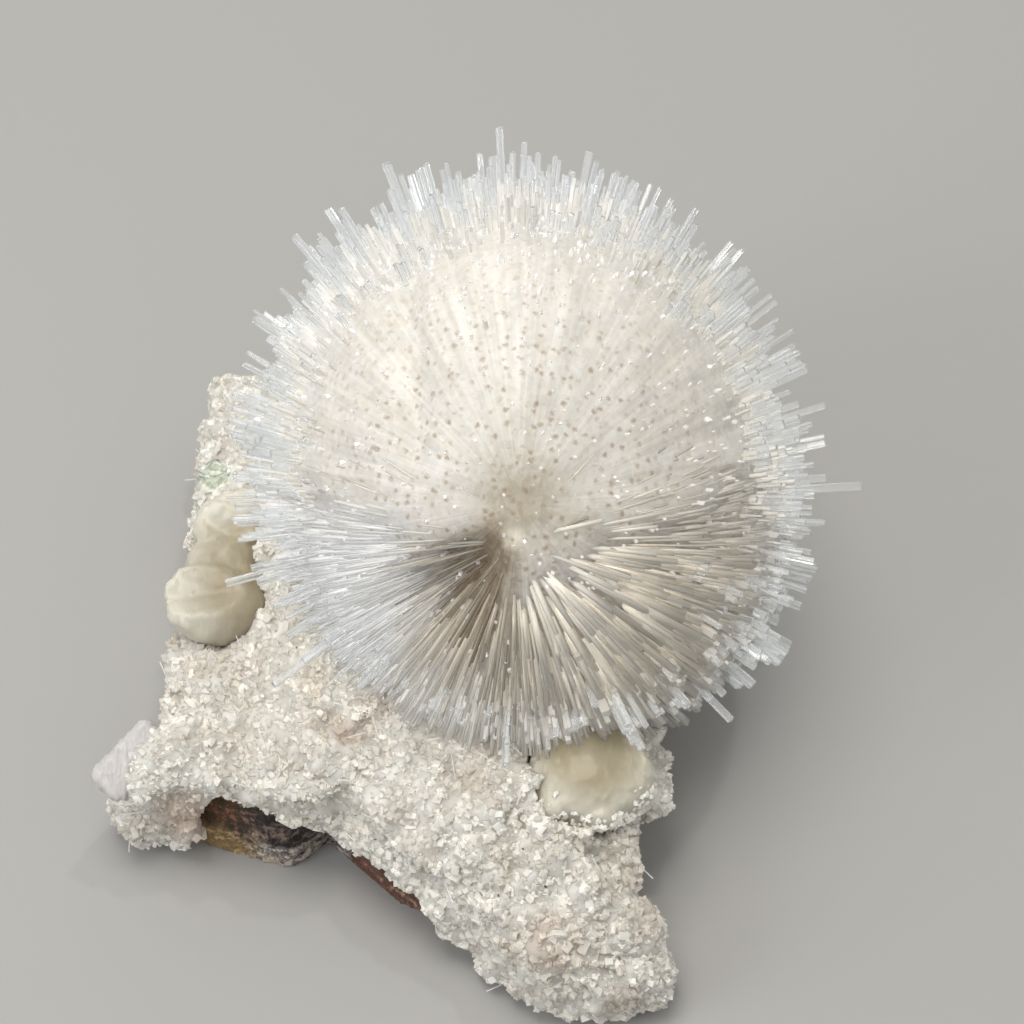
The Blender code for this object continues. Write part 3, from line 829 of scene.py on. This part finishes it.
def glints():
    """Needle ends that just show on the body."""
    draw = np.random.default_rng(31)
    spots = unit(draw.standard_normal((12 * GLINTS, 3)))
    _, up, back = seen(spots).T
    band = smoothstep(*GLINT_BAND, up) * (back > 0)
    spots = spots[draw.random(len(spots)) < GLINT_CHANCE[0] + GLINT_CHANCE[1] * band]
    spots = spots[degrees_above_lowest(spots) > 2.0][:GLINTS]
    count = len(spots)
    body = body_radius(spots)
    return {
        "direction": spots,
        "width": draw.uniform(*GLINT_WIDTH, count),
        "taper": draw.uniform(*COMBED_TIP, count),
        "start": body - COMBED_DEPTH,
        "end": body + draw.uniform(*GLINT_HEIGHT, count),
        "twist": draw.uniform(0, math.pi / 2, count),
        "tilt": draw.normal(0, SPARKLE_TILT, (count, 2)),
        "tone": np.ones(count),
        "warmth": np.full(count, 0.1),
    }


def picked(needles, chosen):
    return {name: values[chosen] for name, values in needles.items()}


def add_rods(name, needles, shape, material):
    """A joined piece of rods. They throw no shadow: light goes through clear needles."""
    points, faces = rods(shape, needles)
    mesh = mesh_from_arrays(name, points, faces, len(needles["width"]))
    repeat = len(shape[0])
    tone = np.repeat(needles["tone"], repeat)
    add_values(mesh, tone=tone, warmth=np.repeat(needles["warmth"], repeat))
    piece = add_piece(name, mesh, material, "mesolite_spray")
    piece.visible_shadow = False
    return mesh


def compass_direction(compass, elevation):
    turn = Euler((0, -math.radians(elevation), math.radians(compass)))
    return np.array(turn.to_matrix() @ Vector((1, 0, 0)))


def free_needles():
    """Groups of one to three parallel rods of stepped lengths, and the ones that stand proud."""
    draw = np.random.default_rng(17)
    seeds = unit(draw.standard_normal((2 * ROD_GROUPS, 3)))
    seeds = seeds[degrees_above_lowest(seeds) > 1.0][:ROD_GROUPS]
    chance = ROD_CHANCE[0] * steps_at(seeds) + ROD_CHANCE[1] * rim_at(seeds)
    seeds = seeds[draw.random(len(seeds)) < chance]
    heights = ROD_HEIGHT_LEAST + ROD_HEIGHT_SCALE * draw.weibull(ROD_HEIGHT_SHAPE, len(seeds))
    dense = dense_radius(seeds)
    levels = ROD_LEVEL * dense - needle_groove(seeds)
    rows = []
    for seed, reach, level, height in zip(seeds, dense, levels, heights):
        shares = draw.uniform(*ROD_STEPS, draw.integers(RODS_IN_GROUP[0], RODS_IN_GROUP[1] + 1))
        ends = np.minimum(level + height * shares, ROD_LIMIT * reach)
        rows += rod_group(seed, level, ends, ROD_WIDTH * width_share(seed[None]), draw)
    for compass, elevation, length in PROUD_NEEDLES:
        seed = compass_direction(compass, elevation)
        level = ROD_LEVEL * dense_radius(seed[None])[0]
        ends = level + (length - PROUD_SHORTER - level) * PROUD_STEPS
        rows += rod_group(seed, level, ends, PROUD_WIDTH, draw)
    direction, level, end, width, twist, shift = [np.array(column) for column in zip(*rows)]
    tone, warmth = needle_tones(direction, draw)
    return {
        "direction": direction,
        "width": width,
        "start": level,
        "end": end,
        "twist": twist,
        "shift": shift,
        "tilt": draw.normal(0, CAP_TILT, (len(rows), 2)),
        "tone": tone,
        "warmth": warmth,
    }


def rod_group(seed, level, ends, widths, draw):
    """Parallel rods side by side: direction, level, end, width, twist and shift of each."""
    rows = []
    twist = draw.uniform(0, math.pi / 2)
    shift = 0.0
    for end in ends:
        width = draw.uniform(*widths)
        rows.append((seed, level, end, width, twist, shift))
        shift += width * draw.uniform(*ROD_SPACING)
    return rows


def add_free_needles(milky, clear):
    needles = free_needles()
    level, end = needles["start"], needles["end"]
    border = level + np.minimum((end - level) * MILKY_SHARE, MILKY_MOST)
    start = body_radius(needles["direction"]) - NEEDLE_DEPTH
    lower = needles | {"start": np.minimum(start, level), "end": border}
    lower["width"] = needles["width"] * MILKY_NARROWER
    upper = needles | {"start": border - 0.1}
    add_rods("free_needles_milky", lower, rod_shape(), milky)
    add_rods("free_needles_clear", upper, rod_shape(ROD_CHAMFER), clear)


# Matrix


def faces_rock(points, normals):
    """Whether each point of the crust looks straight onto the rock under it."""
    bm = merged_bmesh("basalt_matrix")
    tree = BVHTree.FromBMesh(bm)
    bm.free()
    found = []
    for point, normal in zip(points, normals):
        origin = Vector((point + 0.05 * normal) * MM)
        hit = tree.ray_cast(origin, Vector(normal), ROCK_REACH * MM)
        found.append(hit[0] is not None)
    return np.array(found)


def crust_surface():
    """The crust's body: its solid remeshed, with lumps, grains and crevices raised on it."""
    mesh = fine_copy("mordenite_crust", CRUST_VOXEL)
    points, normals = points_of(mesh)
    inner = faces_rock(points, normals)
    rise = sum(noise_at(points, size) * amount for size, amount in CRUST_LUMPS)
    # Painted shade that darkens the borders between the cells
    crevice = 0.0
    dark, wide = CREVICE_SHADE
    for size, amount in CRUST_CELLS:
        near, border = cells_at(points, size)
        rise += amount * (0.5 - near)
        crevice = np.maximum(crevice, dark - dark * smoothstep(0.0, wide, border))
    crevice = crevice * smoothstep(-0.2, 0.5, noise_at(points, 2.4))
    raise_points(mesh, points, normals, rise * ~inner)
    tone = np.clip(0.6 + 0.4 * noise_at(points, 1.2), 0, 1)
    add_values(mesh, crevice=crevice, tone=tone, pink=pinkness(points))
    mesh.shade_smooth()
    return mesh, inner


def pinkness(points):
    """Faint pink-brown staining of the crust, 0 to 1, strongest at the left corner."""
    across, up, _ = seen(points - SPRAY_CENTRE).T
    patches = smoothstep(0.1, 0.5, noise_at(points, 5.0) + 0.5 * noise_at(points, 1.4))
    found = FAINT_STAIN * patches
    for x, y, wide, strength in STAINS:
        away = np.hypot(across - x, up - y) / wide
        found += strength * smoothstep(1.2, 0.4, away) * (0.6 + 0.4 * patches)
    return np.clip(found, 0.0, 1.0)


def crystal_shapes():
    """Two blunt skewed blocks of about unit size."""
    draw = random.Random(41)
    shapes = []
    for stretch in CRYSTAL_BLOCKS:
        block = bmesh.new()
        bmesh.ops.create_cube(block, size=0.9)
        bmesh.ops.scale(block, vec=stretch, verts=block.verts[:])
        for vert in block.verts:
            vert.co *= draw.uniform(*CRYSTAL_SKEW)
        shapes.append(arrays_of(block))
    return shapes


def random_frames(count, draw):
    """Evenly random turns as matrices, from random quaternions."""
    w, x, y, z = unit(draw.standard_normal((count, 4))).T
    return np.array((
        (1 - 2 * (y * y + z * z), 2 * (x * y - w * z), 2 * (x * z + w * y)),
        (2 * (x * y + w * z), 1 - 2 * (x * x + z * z), 2 * (y * z - w * x)),
        (2 * (x * z - w * y), 2 * (y * z + w * x), 1 - 2 * (x * x + y * y)),
    )).transpose(2, 0, 1)


def spots_on(mesh, inner, count, draw):
    """Random spots on a mesh's outer faces, each with its normal, evenly over the area."""
    points, normals = points_of(mesh)
    corners = np.empty(len(mesh.polygons) * 4, np.int32)
    mesh.polygons.foreach_get("vertices", corners)
    corners = corners.reshape(-1, 4)
    areas = np.empty(len(mesh.polygons), np.float32)
    mesh.polygons.foreach_get("area", areas)
    areas[inner[corners].any(axis=1)] = 0.0
    chosen = draw.choice(len(areas), count, p=areas / areas.sum())
    shares = draw.dirichlet(np.ones(4), count)[:, :, None]
    spots = (points[corners[chosen]] * shares).sum(axis=1)
    return spots, unit((normals[corners[chosen]] * shares).sum(axis=1))


def add_crystals(piece, shape, stretch, frames, spots, looks):
    """A joined piece of crystals, each stretched, turned and set on its spot."""
    name, material, slot, node = piece
    points, faces = shape
    local = points[None] * stretch[:, None]
    placed = np.einsum("kij,kpj->kpi", frames, local) + spots[:, None]
    mesh = mesh_from_arrays(name, placed.reshape(-1, 3), faces, len(spots))
    add_values(mesh, **{key: np.repeat(looks[key], len(points)) for key in looks})
    add_piece(name, mesh, material, node)


def add_crust(material):
    mesh, inner = crust_surface()
    add_piece("mordenite_body", mesh, material, "mordenite_crust")
    draw = np.random.default_rng(43)
    spots, normals = spots_on(mesh, inner, CRYSTALS, draw)
    in_box = (spots > np.array(CAD_BOX[0]) / MM + BOX_MARGIN).all(axis=1)
    spots, normals = spots[in_box], normals[in_box]
    total = len(spots)
    least, most = CRYSTAL_SIZE
    sizes = least + (most - least) * draw.random(total) ** CRYSTAL_POWER
    sizes *= 1.0 + (TIP_CRYSTALS - 1.0) * smoothstep(*TIP_FROM, spots[:, 1])
    # A few tiny grains painted dark stand in for the shade deep in the crevices
    dark = draw.random(total) < SHADE_SPECK_SHARE
    sizes[dark] = least
    spots -= normals * (sizes * draw.uniform(*CRYSTAL_SUNK, total))[:, None]
    tone = 0.62 + 0.38 * noise_at(spots, 2.8) + 0.17 * draw.standard_normal(total)
    looks = {"tone": np.clip(tone, 0, 1), "pink": pinkness(spots), "crevice": dark}
    frames = random_frames(total, draw)
    kinds = draw.integers(0, 2, total)
    for kind, shape in enumerate(crystal_shapes()):
        chosen = kinds == kind
        stretch = sizes[chosen][:, None] * draw.uniform(*CRYSTAL_STRETCH, (chosen.sum(), 3))
        piece = (f"mordenite_crystals_{kind}", material, "mordenite", "mordenite_crust")
        set_down = (frames[chosen], spots[chosen], picked(looks, chosen))
        add_crystals(piece, shape, stretch, *set_down)
    return mesh, inner


def add_splinters(material, mesh, inner):
    """Broken needles, fine as hairs, that lie loose on the crust."""
    draw = np.random.default_rng(47)
    spots, normals = spots_on(mesh, inner, 6 * SPLINTERS, draw)
    across, up, _ = seen(spots - SPRAY_CENTRE).T
    x, y, wide, high, thin = APRON
    apron = smoothstep(*thin, np.hypot((across - x) / wide, (up - y) / high))
    kept = draw.random(len(spots)) < 0.10 + 0.9 * apron
    spots, normals = spots[kept][:SPLINTERS], normals[kept][:SPLINTERS]
    count = len(spots)
    stray = unit(draw.standard_normal((count, 3)))
    length = draw.uniform(*SPLINTER_LENGTH, count)
    splinters = {
        "origin": spots + normals * SPLINTER_LIFT,
        "direction": unit(np.cross(normals, stray) + 0.25 * normals),
        "width": draw.uniform(*SPLINTER_WIDTH, count),
        "start": -0.5 * length,
        "end": 0.5 * length,
        "twist": draw.uniform(0, math.pi / 2, count),
        "tone": np.ones(count),
        "warmth": np.full(count, 0.2),
    }
    add_rods("loose_splinters", splinters, rod_shape(), material)


def add_basalt(material):
    mesh = fine_copy("basalt_matrix", BASALT_VOXEL)
    points, normals = points_of(mesh)
    lumps, ridges, fine, grain = ROCK_RELIEF
    layers = points * ROCK_LAYERS
    rise = lumps[1] * noise_at(points, lumps[0])
    rise += ridges[1] * np.abs(noise_at(layers, ridges[0]))
    rise += fine[1] * np.abs(noise_at(points, fine[0]))
    rise += grain[1] * noise_at(points, grain[0]) - ROCK_SUNK
    raise_points(mesh, points, normals, rise * smoothstep(*ROCK_FREE, points[:, 2]))
    add_piece("basalt_rock", mesh, material, "basalt_matrix")


def add_stilbite(name, node, material, slot, hinge, paler, leaf, rise, smoothings):
    """A smooth scalloped piece, paler and with leaf edges away from a hinge point in mm."""
    mesh = fine_copy(node, STILBITE_VOXEL)
    bm = bmesh.new()
    bm.from_mesh(mesh)
    axes = {"use_axis_x": True, "use_axis_y": True, "use_axis_z": True}
    for _ in range(smoothings):
        bmesh.ops.smooth_vert(bm, verts=bm.verts[:], factor=0.5, **axes)
    bm.to_mesh(mesh)
    bm.free()
    points, normals = points_of(mesh)
    pale = smoothstep(*paler, np.linalg.norm(points - hinge, axis=1))
    near, _ = cells_at(points, leaf)
    small, _ = cells_at(points * FLAKE_STRETCH, 0.4 * leaf)
    leaves = (0.5 - near) + 0.5 * (0.5 - small)
    lift = rise * leaves * (0.2 + 0.8 * pale) + SWELL[1] * noise_at(points, SWELL[0])
    flakes = np.abs(noise_at(points * FLAKE_STRETCH, FLAKES[0]))
    lift += FLAKES[1] * flakes * (0.35 + 0.65 * pale)
    raise_points(mesh, points, normals, lift)
    add_values(mesh, edge=pale)
    mesh.shade_smooth()
    add_piece(name, mesh, material, node)
    return mesh


def add_rim_grains(material, mesh):
    """Small sparkling grains in clusters on the front stilbite."""
    draw = np.random.default_rng(53)
    inner = np.zeros(len(mesh.vertices), bool)
    spots, normals = spots_on(mesh, inner, GRAIN_TRIES, draw)
    across, up, _ = seen(spots - SPRAY_CENTRE).T
    facing = normals @ VIEW[2] > -0.2
    chosen = []
    for x, y, wide, count in CLUSTERS:
        near = np.flatnonzero((np.hypot(across - x, up - y) < wide) & facing)
        chosen.append(near[:count])
    chosen = np.concatenate(chosen)
    count = len(chosen)
    sizes = draw.uniform(*GRAIN_SIZE, (count, 1))
    frames = random_frames(count, draw)
    looks = {"tone": np.ones(count), "pink": np.zeros(count), "crevice": np.zeros(count)}
    piece = ("stilbite_grains", material, "stilbite", "stilbite_lump_front")
    add_crystals(piece, crystal_shapes()[0], sizes, frames, spots[chosen], looks)


def add_apophyllite(material):
    """The small block, sharp-edged as its solid is."""
    mesh = bpy.data.meshes.new("apophyllite_block")
    bm = merged_bmesh("apophyllite_crystal")
    bm.to_mesh(mesh)
    bm.free()
    mesh.shade_flat()
    piece = add_piece("apophyllite_block", mesh, material, "apophyllite_crystal")
    piece.visible_shadow = False


# Materials


def milky_colour(add, tone):
    """Cream to warm brown or cool grey, by a tone socket and the warmth attribute; the dark end
    also shows the painted shade in the tone.
    """
    warmth = add("Attribute", {}, "Fac", attribute_name="warmth")
    bright = add("Mix", {0: warmth, 6: linear("#F8F8F8"), 7: linear("#F3EBD8")}, **RGBA)
    dark = add("Mix", {0: warmth, 6: linear("#A9ADB0"), 7: linear("#7D6E59")}, **RGBA)
    return add("Mix", {0: tone, 6: dark, 7: bright}, **RGBA)


def streak_noise(add):
    """Noise drawn out along the needles, about -0.5 to 0.5, from a fixed axis of the spray."""
    axis = {
        "Vector": add("TexCoord", {}, "Object"),
        "Location": tuple(SPRAY_CENTRE * MM),
        "Rotation": (math.radians(90.0 - VIEW_ELEVATION), 0.0, 0.0),
        "Scale": (MM, MM, MM),
    }
    turned = add("Mapping", axis, vector_type="TEXTURE")
    flat = add("VectorMath", {0: turned, 1: (1.0, 1.0, 0.0)}, operation="MULTIPLY")
    ring = add("VectorMath", {0: flat}, operation="NORMALIZE")
    out = add("VectorMath", {0: flat}, "Value", operation="LENGTH")
    along = add("Math", {0: out, 1: 1.0 / STREAK_LENGTH}, operation="MULTIPLY")
    lift = add("CombineXYZ", {"Z": along})
    total = None
    for turns, fade, strength in STREAKS:
        around = add("VectorMath", {0: ring, "Scale": turns}, operation="SCALE")
        spot = add("VectorMath", {0: around, 1: lift}, operation="ADD")
        grain = add("TexNoise", {"Vector": spot, "Scale": 1.0, "Detail": 2.0})
        centred = add("Math", {0: grain, 1: 0.5}, operation="SUBTRACT")
        shown = add("MapRange", {"Value": out, "From Max": fade, "To Max": strength})
        part = add("Math", {0: centred, 1: shown}, operation="MULTIPLY")
        if total is not None:
            part = add("Math", {0: total, 1: part}, operation="ADD")
        total = part
    return total


def painted_hollow_shade(add, place):
    """Dots of uneven outline, 0 to 1: painted shade in the hollows between the level needle ends.
    """
    bend = add("TexNoise", {"Vector": place, "Scale": BENDS_PER_METRE}, "Color")
    bend = add("VectorMath", {0: bend, "Scale": DOT_BEND}, operation="SCALE")
    bent = add("VectorMath", {0: place, 1: bend}, operation="ADD")
    cells = add("TexVoronoi", {"Vector": bent, "Scale": DOTS_PER_METRE}, "Distance")
    spot = {"Value": cells, "From Min": 0.46, "From Max": 0.04}
    spot = add("MapRange", spot, interpolation_type="SMOOTHSTEP")
    some = add("SeparateXYZ", {"Vector": cells.node.outputs["Color"]}, "X")
    some = add("MapRange", {"Value": some, "From Min": -0.1, "From Max": 0.5})
    return add("Math", {0: spot, 1: some}, operation="MULTIPLY")


def milky_mesolite(name, roughness, **looks):
    """Mesolite needles packed tight: milky, cream to warm brown, with a soft gloss."""
    material, add, shader = new_material(name, Roughness=roughness, IOR=1.505, **looks)
    tone = add("Attribute", {}, "Fac", attribute_name="tone")
    return material, add, shader, tone


def milky_body():
    """The spray's milky body: needles' sides as soft streaks, and painted shade in the hollows at
    their ends as brown dots.
    """
    material, add, shader, tone = milky_mesolite(
        "milky_body",
        0.4,
        Subsurface_Weight=1.0,
        Subsurface_Radius=(1.0, 0.95, 0.85),
        Subsurface_Scale=0.0022,
    )
    streaky = add("Attribute", {}, "Fac", attribute_name="streaky")
    streaks = add("Math", {0: streak_noise(add), 1: streaky}, operation="MULTIPLY")
    place = add("TexCoord", {}, "Object")
    ends = add("TexVoronoi", {"Vector": place, "Scale": ENDS_PER_METRE}, "Color")
    ends = add("SeparateXYZ", {"Vector": ends}, "Y")
    ends = add("MapRange", {"Value": ends, "To Min": -0.07, "To Max": 0.07})
    uneven = add("Math", {0: streaks, 1: ends}, operation="ADD")
    colour = milky_colour(add, add("Math", {0: tone, 1: uneven}, operation="ADD"))
    dots = add("Attribute", {}, "Fac", attribute_name="dots")
    dots = add("Math", {0: painted_hollow_shade(add, place), 1: dots}, operation="MULTIPLY")
    faint = add("Math", {0: dots, 1: 0.7}, operation="MULTIPLY")
    # Painted shade: the hollows' dots darken the colour towards brown
    dotted = add("Mix", {0: faint, 6: colour, 7: linear("#957A55")}, **RGBA)
    connect(shader, {"Base Color": dotted})
    return material


def milky_rods():
    """Single milky needles: smooth, with a glassy gloss."""
    material, add, shader, tone = milky_mesolite(
        "milky_needles",
        0.18,
        Subsurface_Weight=0.30,
        Subsurface_Radius=(1.0, 0.97, 0.92),
        Subsurface_Scale=0.0010,
    )
    connect(shader, {"Base Color": milky_colour(add, tone)})
    return material


def clear_mesolite():
    """Free mesolite needles: clear glassy prisms with a faint cool cast."""
    return new_material(
        "clear_mesolite",
        Base_Color=linear("#F5F7F8"),
        Roughness=0.03,
        IOR=1.505,
        Transmission_Weight=0.8,
    )[0]


def sugary_mordenite():
    """Mordenite crystals: translucent white grains with pink-brown stains and painted shade in
    the crevices.
    """
    material, add, shader = new_material(
        "sugary_mordenite",
        Roughness=0.25,
        IOR=1.475,
        Subsurface_Weight=0.65,
        Subsurface_Radius=(1.0, 0.95, 0.88),
        Subsurface_Scale=0.0009,
    )
    colour = linear("#C6C1B4")
    # The crevice colour is painted shade; the pink is stain
    for name, tint in (("tone", "#F4F2EB"), ("pink", "#C4AD9A"), ("crevice", "#7A6758")):
        share = add("Attribute", {}, "Fac", attribute_name=name)
        colour = add("Mix", {0: share, 6: colour, 7: linear(tint)}, **RGBA)
    connect(shader, {"Base Color": colour})
    return material


def weathered_basalt():
    """Broken basalt: near-black painted shade under the crust, grey below, ochre and red-brown
    stains.
    """
    material, add, shader = new_material("weathered_basalt", Roughness=0.75)
    place = add("TexCoord", {}, "Object")
    layers = {"Vector": place, "Rotation": (0.0, 0.45, 0.0), "Scale": ROCK_STREAKS}
    layers = add("Mapping", layers)
    streak = {"Vector": layers, "Scale": 1.0, "Detail": 5.0, "Roughness": 0.6}
    streak = add("TexNoise", streak)
    speck = {"Vector": place, "Scale": ROCK_SPECKS, "Detail": 4.0, "Roughness": 0.7}
    speck = add("TexNoise", speck)
    cloud = {"Vector": place, "Scale": ROCK_CLOUDS, "Detail": 4.0, "Roughness": 0.6}
    cloud = add("TexNoise", cloud)
    grain = add("Math", {0: streak, 1: speck}, operation="MULTIPLY")
    grain = add("MapRange", {"Value": grain, "From Min": 0.185, "From Max": 0.31})
    colour = add("Mix", {0: grain, 6: linear("#3A2E2A"), 7: linear("#CDC2B8")}, **RGBA)
    wobble = add("Math", {0: cloud, 1: 0.5}, operation="SUBTRACT")
    wobble = add("Math", {0: wobble, 1: ROCK_WOBBLE}, operation="MULTIPLY")
    split = add("SeparateXYZ", {"Vector": place}).node.outputs
    for axis, begins, full, tint in ROCK_ZONES:
        tint = linear(tint)
        where = add("Math", {0: split[axis], 1: wobble}, operation="ADD")
        zone = {"Value": where, "From Min": begins, "From Max": full, "To Max": 0.88}
        zone = add("MapRange", zone)
        shaded = add("Mix", {0: 0.75, 6: colour, 7: tint}, **RGBA, blend_type="OVERLAY")
        tinted = add("Mix", {0: 0.5, 6: shaded, 7: tint}, **RGBA)
        colour = add("Mix", {0: zone, 6: colour, 7: tinted}, **RGBA)
    bump = add("Bump", {"Height": grain, "Strength": 0.8, "Distance": 0.0005})
    connect(shader, {"Base Color": colour, "Normal": bump})
    return material


def pearly_stilbite(name, pale, deep, striated, clear=0.0):
    """Stilbite: smooth, slightly see-through cream with a pearly gloss and pale leaf edges."""
    material, add, shader = new_material(
        name,
        Roughness=0.38,
        IOR=1.5,
        Transmission_Weight=clear,
        Subsurface_Weight=0.9,
        Subsurface_Radius=(1.0, 0.88, 0.68),
        Subsurface_Scale=0.0008,
    )
    place = add("TexCoord", {}, "Object")
    leaves = add("Mapping", {"Vector": place, "Rotation": STRIAE_TURN, "Scale": STRIAE})
    leaves = add("TexNoise", {"Vector": leaves, "Scale": 1.0, "Detail": 3.0})
    striae = add("Bump", {"Height": leaves, "Strength": striated, "Distance": 0.0003})
    cloud = add("TexNoise", {"Vector": place, "Scale": STILBITE_CLOUDS, "Detail": 3.0})
    cloud = add("Math", {0: cloud, 1: 0.6}, operation="MULTIPLY")
    edge = add("Attribute", {}, "Fac", attribute_name="edge")
    edge = add("Math", {0: edge, 1: 0.7}, operation="MULTIPLY")
    light = add("Math", {0: cloud, 1: edge}, operation="ADD")
    colour = add("Mix", {0: light, 6: linear(deep), 7: linear(pale)}, **RGBA)
    connect(shader, {"Base Color": colour, "Normal": striae})
    return material


def clear_apophyllite():
    """Apophyllite: clear pale green block."""
    return new_material(
        "clear_apophyllite",
        Base_Color=linear("#E6F0EA"),
        Roughness=0.06,
        IOR=1.535,
        Transmission_Weight=0.95,
    )[0]


def main():
    add_camera()
    add_floor()
    add_studio()
    milky = milky_rods()
    add_piece("spray_body", spray_body_mesh(), milky_body(), "mesolite_spray")
    forest = milky_needles()
    plain_rod = rod_shape()
    on_left = forest["direction"][:, 0] < 0
    add_rods("milky_needles_left", picked(forest, on_left), plain_rod, milky)
    add_rods("milky_needles_right", picked(forest, ~on_left), plain_rod, milky)
    add_rods("combed_needles", combed_needles(), plain_rod, milky).shade_smooth()
    add_rods("needle_glints", glints(), plain_rod, milky)
    add_free_needles(milky, clear_mesolite())
    white = sugary_mordenite()
    add_splinters(milky, *add_crust(white))
    add_basalt(weathered_basalt())
    cream = pearly_stilbite("pearly_stilbite", "#DAD7C9", "#86744E", 0.30)
    beige = pearly_stilbite("beige_stilbite", "#CEC9B8", "#94855F", 0.12)
    blade = pearly_stilbite("glassy_stilbite", "#E6E3E2", "#AFA7A2", 0.9, clear=0.3)
    add_stilbite("stilbite_lobes_left", "stilbite_sheaf_left", cream, "stilbite", *LEFT_SHEAF)
    dome = ("stilbite_dome_front", "stilbite_lump_front", beige, "stilbite")
    add_rim_grains(white, add_stilbite(*dome, *FRONT_DOME))
    corner = ("stilbite_blades", "stilbite_blade_corner", blade, "stilbite_clear")
    add_stilbite(*corner, *CORNER_BLADE)
    add_apophyllite(clear_apophyllite())


main()
